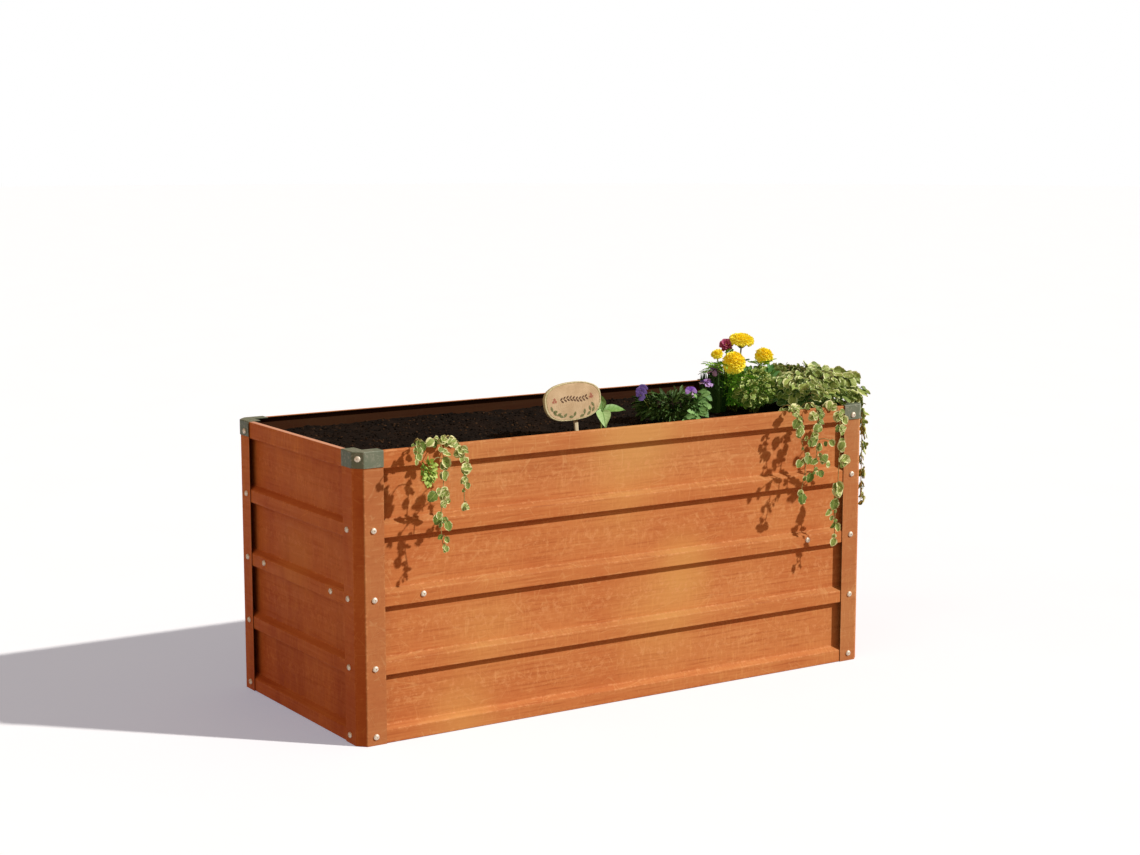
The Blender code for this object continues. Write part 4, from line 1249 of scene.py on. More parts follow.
# From the middle of the face round the rim to the back: share of the way out, and depth
BOARD_RINGS = [(0.25, 0.0), (0.5, 0.0), (0.75, 0.0), (0.915, 0.0), (0.925, 0.0009), (0.937, 0.0002),
               (0.955, -0.0002), (0.985, 0.0004), (1.0, 0.0022), (1.0, SIGN_THICK - 0.0022),
               (0.985, SIGN_THICK - 0.0003), (0.93, SIGN_THICK), (0.5, SIGN_THICK)]
FACE_RINGS = range(4)
ROUGH_RINGS = range(5, 11)
BOARD_STEPS = 120
# On the board's face, from its middle
SPRIG_LEFT = -0.030
SPRIG_STEP = 0.0072
SPRIG_HEIGHT = 0.0045
BERRIES = [(-0.043, 0.008), (-0.0405, 0.0035), (0.043, 0.009), (0.0455, 0.0045), (-0.046, 0.003),
           (0.041, 0.004)]


def sign_matrix():
    return Matrix.Translation(SIGN_PLACE) @ turn_by(SIGN_TILT[1], "Y") @ turn_by(SIGN_TILT[0], "X")


def oval_point(angle, share):
    """Place on the board's plan, at a share of the way from its middle to its rim."""
    uneven = 1.0 + 0.012 * math.sin(3 * angle + 1.0) + 0.008 * math.sin(5 * angle)
    across = math.copysign(abs(math.cos(angle)) ** SIGN_ROUND, math.cos(angle))
    up = math.copysign(abs(math.sin(angle)) ** SIGN_ROUND, math.sin(angle))
    return Vector((SIGN_WIDTH / 2 * across, 0.0, SIGN_HEIGHT / 2 * up)) * uneven * share


def build_board(finish):
    """Slice of a branch with its bark: a flat face in a groove, and a rough raised rim."""
    shape = Shape()
    rows = []
    for order, (share, depth) in enumerate(BOARD_RINGS):
        row = []
        for step in range(BOARD_STEPS):
            place = oval_point(2 * math.pi * step / BOARD_STEPS, share)
            rough = 0.0
            if order in ROUGH_RINGS:
                place *= 0.996 + 0.008 * noise.noise(Vector((place.x * 130, depth * 200, place.z * 130)))
                rough = 0.0003 * noise.noise(place * 300)
            place.y = depth + rough
            row.append(shape.point(place, share, 0.0 if order in FACE_RINGS else 1.0))
        rows.append(row)
    for inner, outer in zip(rows, rows[1:]):
        for step in range(BOARD_STEPS):
            following = (step + 1) % BOARD_STEPS
            shape.faces.append([inner[step], outer[step], outer[following], inner[following]])
    for row, depth, bark in ((rows[0], 0.0, 0.0), (rows[-1], SIGN_THICK, 1.0)):
        middle = shape.point((0, depth, 0), 0.0, bark)
        for step in range(BOARD_STEPS):
            shape.faces.append([middle, row[step], row[(step + 1) % BOARD_STEPS]])
    board = new_object("sign_board_slice", shape.mesh("sign_board_slice"), finish)
    store(board.data, "plan", shape.points, "FLOAT_VECTOR")
    board.data.transform(sign_matrix())
    outward(board.data)
    soften(board.data, 40)
    hand_over(board, "sign_wood", "sign_board")


def build_stake(finish):
    """Flat stake behind the board, pointed at its foot, with eased edges."""
    foot = SOIL_LEVEL - STAKE_DEPTH - SIGN_PLACE[2]
    bm = bmesh.new()
    bmesh.ops.create_cube(bm, size=1.0)
    for vert in bm.verts:
        low = vert.co.z < 0
        vert.co.x = STAKE_SHIFT + vert.co.x * STAKE_WIDTH * (0.35 if low else 1.0)
        vert.co.y = SIGN_THICK + GAP + STAKE_THICK / 2 + vert.co.y * STAKE_THICK
        vert.co.z = foot if low else SIGN_HEIGHT * 0.30
    uprights = [edge for edge in bm.edges if abs(edge.verts[0].co.z - edge.verts[1].co.z) > 0.05]
    bmesh.ops.subdivide_edges(bm, edges=uprights, cuts=24)
    for vert in bm.verts:
        vert.co.x += 0.0002 * noise.noise(vert.co * 90)
    sharp = [edge for edge in bm.edges if edge.calc_face_angle(0) > 0.8]
    bmesh.ops.bevel(bm, geom=sharp, offset=0.0008, segments=2, profile=0.5, affect="EDGES")
    bmesh.ops.recalc_face_normals(bm, faces=bm.faces)
    stake = new_object("sign_stake_strip", mesh_from("sign_stake_strip", bm), finish)
    stake.data.transform(sign_matrix())
    soften(stake.data, 40)
    hand_over(stake, "stake_wood", "sign_stake")


def build_garland(brown, green, red):
    """A plain painted sprig across the face, small flowers at its ends, and leaves below it."""
    matrix = sign_matrix()

    def spot(x, z, degrees, size):
        turn = (matrix @ turn_by(90, "X") @ turn_by(degrees, "Z")).to_euler()
        return matrix @ Vector((x, -0.0002, z)), turn, size, 0, 0.5

    sprig = []
    for step in range(9):
        x = SPRIG_LEFT + SPRIG_STEP * step
        z = SPRIG_HEIGHT + 0.0022 * math.sin(step * 0.8)
        sprig += [spot(x, z, -50, 0.95), spot(x + 0.002, z, -130, 0.95)]
    leaves = []
    for step in range(7):
        degrees = -155 + 21.5 * step
        place = oval_point(math.radians(degrees), 0.80)
        leaves += [spot(place.x, place.z, degrees + turn, 0.9) for turn in (60, 175)]
    berries = [spot(x, z, 72 * petal, 0.42) for x, z in BERRIES for petal in range(5)]
    leaflet = leaf(0.0090, 0.0038, LANCE_OUTLINE, lanes=3, thick=0.0002)
    wide_leaf = leaf(0.0130, 0.0062, LANCE_OUTLINE, lanes=3, thick=0.0002)
    hand_over(stood("sign_sprig", sprig, [leaflet], brown), "sign_wood")
    hand_over(stood("sign_leaves", leaves, [wide_leaf], green), "sign_wood")
    hand_over(stood("sign_berries", berries, [leaflet], red), "sign_wood")


def board_wood():
    """Planed pale wood with soft growth rings, and bark where the piece says so."""
    finish = Finish("sign_wood", 0.7, specular=0.2)
    plan = finish.add("ShaderNodeAttribute", attribute_name="plan")["Vector"]
    split = finish.split(plan)
    far_x = (split["X"] + 0.012) * 0.62
    far_z = split["Z"] + 0.006
    reach = finish.math("SQRT", far_x * far_x + far_z * far_z) + finish.noise(plan, 45.0) * 0.006
    rings = finish.math("SINE", reach * 2300.0) * 0.5 + 0.5
    fibre = finish.noise(plan, 520.0)
    dark = (202, 174, 136)
    finish.ground(finish.noise(plan, 38.0, 3.0).ease(0.3, 0.7), (226, 200, 162), dark)
    finish.coat(rings * 0.22, *[part * 0.8 for part in dark])
    finish.coat(fibre.ease(0.55, 0.75) * 0.35, *[part * 0.72 for part in dark])
    grit = finish.noise(finish.place(), 420.0, 3.0, 0.7)
    bark = finish.mix(grit.ease(0.4, 0.65), linear(190, 178, 134), linear(228, 220, 180))
    finish.colour = finish.mix(finish.attribute("along").ease(0.1, 0.6), finish.colour, bark)
    return finish.done(fibre + rings * 0.4 + grit, 0.0002)


def stake_wood():
    finish = Finish("stake_wood", 0.75, specular=0.2)
    grain = finish.noise(finish.vector_math("MULTIPLY", finish.place(), (700.0, 700.0, 26.0)), 1.0, 3.0)
    finish.ground(grain.ease(0.3, 0.7), (240, 226, 192), (208, 190, 154))
    return finish.done(grain, 0.0003)


def flat_paint(name, shade):
    """Thin paint that lets a little of the wood show."""
    finish = Finish(name, 0.7, specular=0.2)
    wear = finish.noise(finish.place(), 600.0)
    finish.ground(wear.ease(0.45, 0.75), shade, [part + (190 - part) * 0.45 for part in shade])
    return finish.done(wear, 0.0001)


# ---- plant finishes

def leaf_finish(name, deep, light, vein, stem, rim=None, glow=0.05):
    """Leaf skin with its veins and a faint painted glow; rim is its pale margin's colour, where it starts and
    how much that varies.
    """
    finish = Finish(name, 0.45, specular=0.3)
    side = abs(finish.attribute("side"))
    along = finish.attribute("along")
    tint = finish.attribute("tint")
    blotch = finish.noise(finish.place(), 260.0, 3.0, 0.6)
    finish.ground(tint, deep, light)
    finish.coat(blotch.ease(0.35, 0.7) * 0.35, *light)
    rhythm = abs(finish.math("FRACT", along * 5.5 - side * 1.2) - 0.5)
    veins = finish.math("MAXIMUM", side.ease(0.13, 0.03), rhythm.ease(0.09, 0.02) * 0.55)
    finish.coat(veins * 0.6, *vein)
    if rim:
        pale, start, vary = rim
        ends = abs(along * 2.0 - 1.0) ** 3.0
        margin = finish.math("MAXIMUM", side, ends) + (blotch - 0.5) * 0.7
        finish.coat((margin - (start - tint * vary)).ease(0.0, 0.16), *pale)
    finish.coat(along.ease(-0.02, -0.08), *stem)
    # Painted light: the leaf glows with a greener copy of its colour, standing in for light through the leaf
    # and lifting its shade
    finish.give("Emission Color", finish.mix(1.0, finish.colour, (0.5, 0.95, 0.6, 1.0), "MULTIPLY"))
    finish.give("Emission Strength", glow)
    finish.give("Roughness", 0.45 + blotch * 0.15)
    return finish.done(veins * -0.6 + blotch * 0.5, 0.0006)


def petal_finish(name, heart, body, tip, pale=None, glow=0.0):
    """Petal from its heart to its tip, each a little different, some of them pale."""
    finish = Finish(name, 0.6, specular=0.2)
    along = finish.attribute("along")
    fibre = finish.noise(finish.place(), 900.0)
    finish.ground(along.ease(0.15, 0.60), heart, body)
    finish.coat(along.ease(0.60, 1.0), *tip)
    if pale:
        finish.coat(finish.attribute("tint"), *pale)
    finish.coat(fibre.ease(0.5, 0.7) * 0.25, *heart)
    # Painted light: the petals glow with their own colour, standing in for light through them
    if glow:
        finish.give("Emission Color", finish.colour)
        finish.give("Emission Strength", glow)
    return finish.done(fibre, 0.0003)


def stem_finish(name, low, high):
    finish = Finish(name, 0.55, specular=0.25)
    place = finish.place()
    finish.ground(finish.noise(place, 120.0, 3.0).ease(0.3, 0.7), low, high)
    return finish.done(finish.noise(place, 700.0), 0.0003)


# ---- trailing stems

# In millimetres: each stem's points from its root, over the rim and down; then each leaf's place along
# the wall, its height and its length; and how pale it is
TRAILING = {
    "front_1": (
        [(-436, -205, 500), (-436, -215, 540), (-434, -250, 562), (-436, -284, 552), (-438, -294, 515),
         (-441, -296, 460), (-446, -295, 415), (-441, -294, 372)],
        [(-452, 560, 16, 0.8), (-433, 524, 21, 0.6), (-438, 501, 16, 0.7), (-465, 465, 19, 0.1),
         (-441, 464, 20, 0.9), (-452, 452, 14, 1.0), (-453, 420, 17, 0.1), (-441, 409, 17, 0.2),
         (-436, 380, 14, 0.6), (-443, 366, 10, 0.5)]),
    "front_2": (
        [(-404, -208, 500), (-404, -218, 540), (-405, -250, 563), (-400, -284, 556), (-392, -292, 520),
         (-394, -293, 480), (-394, -293, 438)],
        [(-427, 561, 18, 0.9), (-404, 541, 22, 0.95), (-400, 511, 20, 0.9), (-407, 491, 14, 0.9),
         (-388, 476, 11, 0.5), (-401, 440, 14, 0.9)]),
    "front_3": (
        [(-462, -208, 500), (-463, -220, 540), (-470, -248, 563), (-482, -280, 558), (-496, -291, 548)],
        [(-462, 555, 14, 0.6), (-478, 556, 17, 0.1), (-490, 550, 16, 0.3), (-500, 542, 13, 0.4)]),
    "front_4": (
        [(398, -212, 500), (397, -222, 541), (394, -252, 562), (390, -284, 552), (398, -296, 500),
         (412, -297, 450), (404, -296, 400), (396, -295, 372)],
        [(413, 552, 23, 0.9), (383, 530, 18, 0.1), (396, 512, 21, 0.45), (408, 490, 15, 0.3),
         (402, 456, 17, 0.2), (378, 450, 16, 0.25), (410, 418, 18, 0.0), (395, 375, 20, 0.0)]),
    "front_5": (
        [(452, -212, 500), (452, -222, 541), (450, -252, 563), (447, -285, 553), (440, -297, 500),
         (437, -299, 455), (430, -297, 415)],
        [(426, 543, 19, 0.95), (452, 541, 17, 0.4), (437, 517, 19, 0.3), (427, 503, 17, 0.95),
         (419, 490, 19, 0.2), (462, 486, 15, 0.6), (456, 451, 21, 0.3), (468, 439, 14, 0.8),
         (433, 425, 14, 0.1)]),
    "front_6": (
        [(506, -212, 500), (506, -222, 541), (505, -252, 562), (504, -284, 552), (503, -296, 500),
         (499, -298, 440), (497, -297, 380), (491, -297, 320), (493, -296, 265)],
        [(490, 558, 18, 0.8), (500, 535, 21, 0.9), (516, 526, 18, 0.7), (493, 513, 16, 0.95),
         (494, 477, 18, 0.6), (495, 448, 22, 0.9), (495, 380, 22, 0.95), (481, 354, 20, 0.2),
         (470, 338, 15, 0.8), (496, 304, 18, 0.7), (483, 274, 16, 0.7)]),
    "side_1": (
        [(556, -236, 500), (561, -234, 541), (594, -222, 563), (624, -212, 555), (634, -210, 510),
         (634, -212, 460), (633, -213, 400), (631, -214, 335)],
        [(-206, 548, 20, 0.6), (-216, 524, 18, 0.4), (-206, 500, 22, 0.9), (-218, 476, 16, 0.3),
         (-211, 452, 20, 0.9), (-204, 420, 16, 0.2), (-216, 390, 17, 0.7), (-209, 362, 15, 0.4),
         (-214, 335, 14, 0.6)]),
    "side_2": (
        [(556, -150, 500), (561, -148, 537), (590, -142, 556), (624, -138, 549), (636, -136, 500),
         (636, -137, 445), (633, -138, 390)],
        [(-130, 540, 20, 0.7), (-146, 518, 19, 0.3), (-131, 494, 18, 0.9), (-143, 468, 20, 0.5),
         (-131, 444, 16, 0.2), (-142, 420, 17, 0.8), (-136, 392, 14, 0.5)]),
}
TRAIL_RADIUS = 0.0009
TRAIL_LEAF = 0.020
TRAIL_TOP = 0.566          # leaves hang from the part of a stem below this
TRAIL_OUT = 0.23           # and this far out from the middle of the bed
TUFT_PLACE = (-0.475, -0.299, 0.512)
TUFT_ROUTE = [(-0.438, -0.293, 0.530), (-0.456, -0.297, 0.534), TUFT_PLACE]
# How large the leaves at the rim are, how far down they go, and how many, where it isn't 1, 0.535 m and 8
RIM_LEAVES = {"front_3": (0.7, 0.535, 8), "front_4": (0.8, 0.500, 18), "front_5": (0.8, 0.500, 18),
              "front_6": (0.9, 0.520, 12), "side_1": (0.9, 0.500, 16), "side_2": (0.9, 0.500, 16)}


def hang_leaves(name, route, leaves, wall_axis, outwards):
    """Spots of a trailing stem's leaves, and the short stalks that hold them."""
    luck = random.Random(name)
    spots = []
    stalks = []
    hanging = [place for place in route if place.z < TRAIL_TOP and place.dot(outwards) > TRAIL_OUT]
    for across, height, length, pale in leaves:
        across = across / 1000
        height = height / 1000
        length = length / 1000 * 1.15
        joint = min(hanging, key=lambda place: abs(place.z - height - 0.006)
                    + 0.4 * abs(place[wall_axis] - across))
        centre = joint.copy()
        centre[wall_axis] = across
        centre.z = height
        centre += outwards * luck.uniform(0.002, 0.024 if wall_axis == 0 else 0.009)
        hand = across - joint[wall_axis]
        heading = outwards * luck.uniform(0.0, 0.3) + UP * -luck.uniform(0.35, 1.0)
        heading[wall_axis] += 34 * hand + luck.uniform(-0.35, 0.35)
        heading.normalize()
        upper = outwards + Vector((-0.4, -0.6, luck.uniform(0.0, 0.7)))
        upper[wall_axis] += luck.uniform(-0.4, 0.4)
        base = centre - heading * length * 0.5
        spots.append((base, aimed(heading, upper), length / TRAIL_LEAF, luck.randrange(3), pale))
        if pale >= 0.9:
            spots += tip_rosette(centre, length, outwards, luck)
        for order in range(2 if wall_axis == 0 else 9):
            partner = heading.copy()
            partner[wall_axis] = -math.copysign(luck.uniform(0.4, 1.2), hand) * (1 - 1.2 * (order % 2))
            nudge = UP * luck.uniform(-0.014, 0.010)
            spots.append((joint.lerp(base, 0.2 + 0.4 * (order % 3)) + nudge,
                          aimed(partner, upper), length / TRAIL_LEAF * luck.uniform(0.45, 0.85),
                          luck.randrange(3), luck.uniform(0.0, 0.9)))
        bow = joint.lerp(base, 0.5) + UP * 0.003 + outwards * 0.002
        stalks.append(smooth_route([joint, bow, base + heading * length * 0.08], 2))
    small, lowest, count = RIM_LEAVES.get(name, (1.0, 0.535, 8))
    return spots + rim_leaves(route, wall_axis, outwards, luck, small, lowest, count), stalks


def rim_leaves(route, wall_axis, outwards, luck, small, lowest, count):
    """Leaves where a trailing stem crosses the rim and starts down the wall."""
    crossing = [place for place in route if place.z > lowest and place.dot(outwards) > TRAIL_OUT]
    spots = []
    for order in range(count):
        place = crossing[(order * len(crossing)) // count] + UP * luck.uniform(-0.006, -0.001)
        place += outwards * luck.uniform(0.0, 0.014)
        heading = outwards * luck.uniform(-0.1, 0.8) + UP * luck.uniform(-0.7, 0.0)
        heading[wall_axis] = luck.choice((-1, 1)) * luck.uniform(0.4, 1.2)
        upper = outwards * luck.uniform(0.3, 1.0) + Vector((-0.3, -0.4, luck.uniform(0.4, 1.0)))
        spots.append((place, aimed(heading, upper), luck.uniform(0.50, 0.85) * small, order % 3,
                      luck.uniform(0.2, 1.0) * small * small))
    return spots


def tip_rosette(centre, length, outwards, luck):
    """Small leaves round the middle of a pale leaf."""
    spots = []
    turn = looking(outwards).to_matrix()
    start = luck.uniform(0.0, 2.0)
    for order in range(4):
        heading = turn @ ray(start + order * 1.7, luck.uniform(0.1, 0.7))
        base = centre + outwards * 0.002 - heading * length * 0.06
        size = length / TRAIL_LEAF * luck.uniform(0.42, 0.60)
        turned_up = aimed(heading, outwards + UP * 0.4)
        spots.append((base, turned_up, size, order % 3, luck.uniform(0.6, 1.0)))
    return spots


def build_trailing(leaf_paint, curly_paint, stem_paint):
    shapes = round_leaves(TRAIL_LEAF, thick=0.0006)
    for name, (points, leaves) in TRAILING.items():
        wall_axis, outwards = (1, Vector((1, 0, 0))) if "side" in name else (0, Vector((0, -1, 0)))
        route = smooth_route([[part / 1000 for part in point] for point in points], 6)
        spots, stalks = hang_leaves(name, route, leaves, wall_axis, outwards)
        node = f"trailing_stem_{name}"
        if name == "front_1":
            stalks.append(smooth_route(TUFT_ROUTE, 3))
            tuft = stood("trailing_curly_tuft", curly_tuft(), shapes, curly_paint, 0.1)
            hand_over(tuft, "green_leaf", node)
        stem = stems(f"trailing_{name}_stem", [route, *stalks], TRAIL_RADIUS, stem_paint, tip=0.7)
        hand_over(stem, "stem", node)
        hand_over(stood(f"trailing_{name}_leaves", spots, shapes, leaf_paint, 0.12), "variegated_leaf", node)


def curly_tuft():
    """Small crowded leaves at the end of a side shoot."""
    luck = random.Random(77)
    spots = []
    for order, out, reach in over_disc(54):
        place = Vector(TUFT_PLACE)
        place += Vector((0.0105 * reach * out.x, -0.007 * luck.random(), 0.021 * reach * out.y))
        heading = (out.x * reach, -0.9, out.y * reach - 0.3)
        spots.append(leaf_spot(luck, order, place, heading, (0.3, -1, 0.6), 0.38, 0.62))
    return spots


# ---- foliage

CURLY_ROOT = (0.418, -0.112, ROOT_DEPTH)
MARIGOLD_ROOT = (0.400, -0.066, ROOT_DEPTH)
# Middle and half sizes of each lump that leaves grow over
MOUND_LUMPS = [((0.520, -0.100, 0.577), (0.054, 0.130, 0.039)),
               ((0.580, -0.095, 0.592), (0.061, 0.140, 0.033))]
VIOLA_LUMP = ((0.208, -0.106, 0.559), (0.073, 0.064, 0.031))
CURLY_LUMPS = [((0.410, -0.126, 0.576), (0.050, 0.034, 0.036)),
               ((0.436, -0.095, 0.592), (0.040, 0.035, 0.033))]


def lump_mesh(lumps, inset):
    """Guide surface: rounded lumps, each set in from its full size."""
    bm = bmesh.new()
    for centre, half_sizes in lumps:
        made = bmesh.ops.create_icosphere(bm, subdivisions=4, radius=1.0)
        for vert in made["verts"]:
            full = sum(abs(part) ** 3 for part in vert.co) ** (-1 / 3)
            full *= 0.97 + 0.10 * noise.noise(vert.co * 2.6 + Vector(centre) * 30)
            vert.co = [centre[axis] + (half_sizes[axis] - inset) * vert.co[axis] * full for axis in range(3)]
    return mesh_from("lumps", bm)


def build_mound(leaf_paint, shaded_inner_paint, stem_paint):
    """Dense mound of scalloped leaves, a layer below it whose darker colour is painted shade, and its stalks.
    """
    centre = (0.552, -0.098, 0.560)
    leaf_shapes = round_leaves(0.022, stalk=0.010, ruffle=0.06)
    outer = SPREAD.fill("mound_leaves", lump_mesh(MOUND_LUMPS, 0.010), leaf_shapes, leaf_paint, Centre=centre,
                        Spacing=0.0086, Density=11000.0, Smallest=0.60, Largest=1.25, Depth=0.008,
                        Upright=0.25, Facing=(-0.15, -0.75, 0.0), Droop=0.45, Spike=0.10, Disorder=0.45,
                        Seed=7)
    hand_over(outer, "variegated_leaf", "plectranthus_leaves")
    inner = SPREAD.fill("mound_inner_leaves", lump_mesh(MOUND_LUMPS, 0.020), leaf_shapes, shaded_inner_paint,
                        Centre=centre, Spacing=0.011, Density=7000.0, Smallest=0.8, Largest=1.15,
                        Depth=0.006, Upright=0.3, Droop=0.2, Spike=0.2, Disorder=0.5, Seed=19)
    hand_over(inner, "variegated_leaf", "plectranthus_leaves")
    hand_over(stood("mound_skirt_leaves", skirt_spots(), leaf_shapes, leaf_paint, 0.15), "variegated_leaf")
    hand_over(stems("mound_stalks", mound_stalks(), 0.0012, stem_paint, tip=0.5), "stem")


SKIRT_LEAVES = 96
SKIRT_LEFT = 0.475
SKIRT_RUN = 0.133          # along the front, before the skirt turns back on the right
SKIRT_Y = -0.222


def skirt_spots():
    """Leaves that hang over the rim and the cap along the mound's front and right-hand edge."""
    luck = random.Random(63)
    spots = []
    for order in range(SKIRT_LEAVES):
        share = order / (SKIRT_LEAVES - 1)
        turn = max(0.0, share - 0.70) / 0.30
        x = SKIRT_LEFT + SKIRT_RUN * min(share / 0.72, 1.0) + luck.uniform(-0.006, 0.006)
        y = SKIRT_Y + 0.075 * turn * turn + luck.uniform(-0.016, 0.018)
        z = luck.uniform(0.560, 0.590) if x < 0.53 else luck.uniform(0.557, 0.585)
        heading = Vector((0.15 + 0.8 * turn + luck.uniform(-0.4, 0.4), -1.0 + 0.8 * turn,
                          luck.uniform(-0.5, 0.1)))
        spots.append(leaf_spot(luck, order, (x, y, z), heading, (0.2, -0.4, 1.0), 0.65, 1.05))
    return spots


def mound_stalks():
    luck = random.Random(31)
    routes = []
    for _ in range(46):
        centre, half_sizes = MOUND_LUMPS[luck.randrange(2)]
        out = ray(luck.uniform(0, 2 * math.pi))
        reach = luck.uniform(0.3, 0.85)
        out = Vector((out.x * reach, out.y * reach, 0.6 * math.sqrt(1 - reach * reach)))
        root = Vector((0.545 + luck.uniform(-0.02, 0.02), -0.10 + luck.uniform(-0.05, 0.05), ROOT_DEPTH))
        routes.append(risen(root, Vector(centre) + Vector(half_sizes) * out, 0.4, 5))
    return routes


def build_curly(leaf_paint, stem_paint):
    """Low curly plant between the marigolds and the mound."""
    shapes = round_leaves(0.017, stalk=0.008, ruffle=0.16)
    curly = SPREAD.fill("curly_leaves", lump_mesh(CURLY_LUMPS, 0.010), shapes, leaf_paint,
                        Centre=(0.420, -0.105, 0.550), Spacing=0.0062, Density=18000.0, Smallest=0.50,
                        Largest=1.15, Depth=0.007, Upright=0.3, Droop=0.0, Spike=0.55, Disorder=0.6,
                        Seed=23)
    hand_over(curly, "variegated_leaf")
    luck = random.Random(5)
    routes = []
    for _, out, _ in over_disc(18):
        end = (0.415 + 0.030 * out.x, -0.118 + 0.020 * out.y, luck.uniform(0.56, 0.59))
        routes.append(risen(CURLY_ROOT, end, 0.5, 4))
    hand_over(stems("curly_stalks", routes, 0.0009, stem_paint), "stem")


def build_viola(dark_paint, light_paint, petal_paint, pale_paint, stem_paint):
    """Dense dark tuft with broad lighter leaves at its right, and its flowers."""
    narrow = leaf_set(0.026, 0.0085, LANCE_OUTLINE, ((0.5, 0.25, 1), (0.5, 0.45, 2), (0.5, 0.10, 3)),
                      lanes=3, uneven=0.1, thick=0.0005)
    dark = SPREAD.fill("viola_dark_leaves", lump_mesh([VIOLA_LUMP], 0.011), narrow, dark_paint,
                       Centre=(0.208, -0.104, 0.540), Spacing=0.0046, Density=40000.0, Smallest=0.5,
                       Largest=1.0, Depth=0.009, Upright=0.5, Droop=0.0, Spike=0.85, Disorder=0.65,
                       Seed=3)
    hand_over(dark, "dark_leaf", "viola_leaves")
    broad = leaf_set(0.032, 0.017, SPOON_OUTLINE, ((0.3, 0.30, 4), (0.3, 0.5, 5), (0.3, 0.15, 6)),
                     ruffle=0.07, uneven=0.14, stalk=0.008)
    luck = random.Random(12)
    spots = []
    for order in range(54):
        share = (order % 27) / 26
        place = Vector((0.200 + 0.062 * share + luck.uniform(-0.018, 0.014), -0.180 + 0.050 * share,
                        0.533 + 0.046 * share + luck.uniform(-0.004, 0.006)))
        heading = Vector((luck.uniform(-0.3, 1.1), luck.uniform(-0.8, -0.1), luck.uniform(-0.5, 0.4)))
        pale = luck.uniform(0.1, 1.0) * (1.0 if luck.random() > 0.35 else 0.3)
        spots.append((place, aimed(heading, (-0.1, -0.9, 0.9)), luck.uniform(0.55, 0.90), order % 3, pale))
    hand_over(stood("viola_light_leaves", spots, broad, light_paint, 0.15), "green_leaf", "viola_leaves")
    build_small_flowers("viola", pansy_spots, stem_paint, [
        ((0.128, -0.113, 0.593), 0.013, (0.156, -0.106, 0.550), pale_paint),
        ((0.243, -0.128, 0.587), 0.014, (0.236, -0.116, 0.550), petal_paint)])
    spots = []
    routes = []
    for place, radius, foot in (((0.118, -0.124, 0.588), 0.010, (0.156, -0.112, 0.550)),
                                ((0.142, -0.100, 0.598), 0.011, (0.166, -0.098, 0.550))):
        spots += pansy_spots(Vector(place), radius)
        routes.append(smooth_route([foot, place], 3))
    hand_over(stood("viola_faded_flowers", spots, small_petals(), pale_paint, 0.1), "purple_petal")
    hand_over(stems("viola_faded_stalks", routes, 0.0009, stem_paint), "stem")


SMALL_PETAL = 0.0130


def small_petals():
    return leaf_set(SMALL_PETAL, 0.0135, SPOON_OUTLINE, ((-0.12, 0.16, 2), (0.1, 0.55, 5), (-0.2, 0.35, 8)),
                    ruffle=0.08, uneven=0.05, thick=0.0005)


# Angle in degrees, size, depth and paleness of a pansy's petals: two above, two beside and one below
PANSY_PETALS = [(62, 0.95, 0.0008, 0.0), (118, 0.95, 0.0011, 0.05), (10, 0.85, 0.0, 0.35),
                (170, 0.85, 0.0003, 0.4), (270, 1.15, -0.0004, 0.9)]


def pansy_spots(place, radius):
    """Five petals round a face that looks up and out over the front."""
    face = looking((-0.25, -0.75, 0.6)).to_matrix()
    spots = []
    for degrees, size, back, pale in PANSY_PETALS:
        heading = face @ ray(math.radians(degrees), 0.12)
        base = place - face @ UP * back + heading * 0.0006
        spots.append((base, aimed(heading, face @ UP), size * radius / SMALL_PETAL, 0, pale))
    return spots


def iris_spots(place, radius):
    """Petals up in a cup, and paler ones that spread and droop round it."""
    luck = random.Random(round(place.x * 1000))
    spots = []
    for order in range(11):
        drooping = order >= 5
        out = ray(order * NEXT_TURN + luck.uniform(-0.3, 0.3))
        rise = luck.uniform(-0.5, 0.1) if drooping else luck.uniform(0.9, 1.6)
        upper = out * 0.5 + UP if drooping else out * -1.0
        size = (luck.uniform(0.95, 1.15) if drooping else 0.85) * radius / SMALL_PETAL
        base = place + UP * 0.001 * drooping + out * 0.001
        spots.append((base, aimed(out + UP * rise, upper), size, order % 3,
                      luck.uniform(0.6, 1.0) if drooping else luck.uniform(0.0, 0.3)))
    return spots


def build_small_flowers(plant, arrange, stem_paint, flowers):
    for order, (place, radius, foot, paint) in enumerate(flowers):
        node = f"{plant}_flower_{order + 1}"
        place = Vector(place)
        petals = stood(f"{node}_petals", arrange(place, radius), small_petals(), paint, 0.1, order + 2)
        hand_over(petals, "purple_petal", node)
        middle = (place + Vector(foot)) / 2 + Vector((0.002, 0.004, 0.004))
        end = place + Vector((0.001, 0.003, -0.002))
        stalk = smooth_route([foot, middle, end], 4)
        hand_over(stems(f"{node}_stalk", [stalk], 0.0010, stem_paint), "stem", node)


def build_iris(leaf_paint, petal_paint, stem_paint):
    """Upright fan of strap leaves with two lavender flowers."""
    luck = random.Random(8)
    spots = []
    for order, out, reach in over_disc(170):
        place = Vector((0.355, -0.057, 0.515)) + Vector((out.x * 0.019, out.y * 0.022, 0)) * reach
        heading = out * luck.uniform(0.05, 0.22) * reach + UP
        spots.append(leaf_spot(luck, order, place, heading, out, 0.75, 1.10))
    straps = leaf_set(0.095, 0.0058, STRAP_OUTLINE, ((0.4, 0.05, 1), (0.4, 0.14, 2), (0.4, -0.03, 3)),
                      lanes=3, thick=0.0006)
    hand_over(stood("iris_straps", spots, straps, leaf_paint, 0.06), "dark_leaf", "iris_leaves")
    build_small_flowers("iris", iris_spots, stem_paint, [
        ((0.313, -0.085, 0.596), 0.013, (0.330, -0.060, 0.550), petal_paint),
        ((0.351, -0.062, 0.617), 0.014, (0.350, -0.052, 0.555), petal_paint)])


# ---- marigolds and cosmos

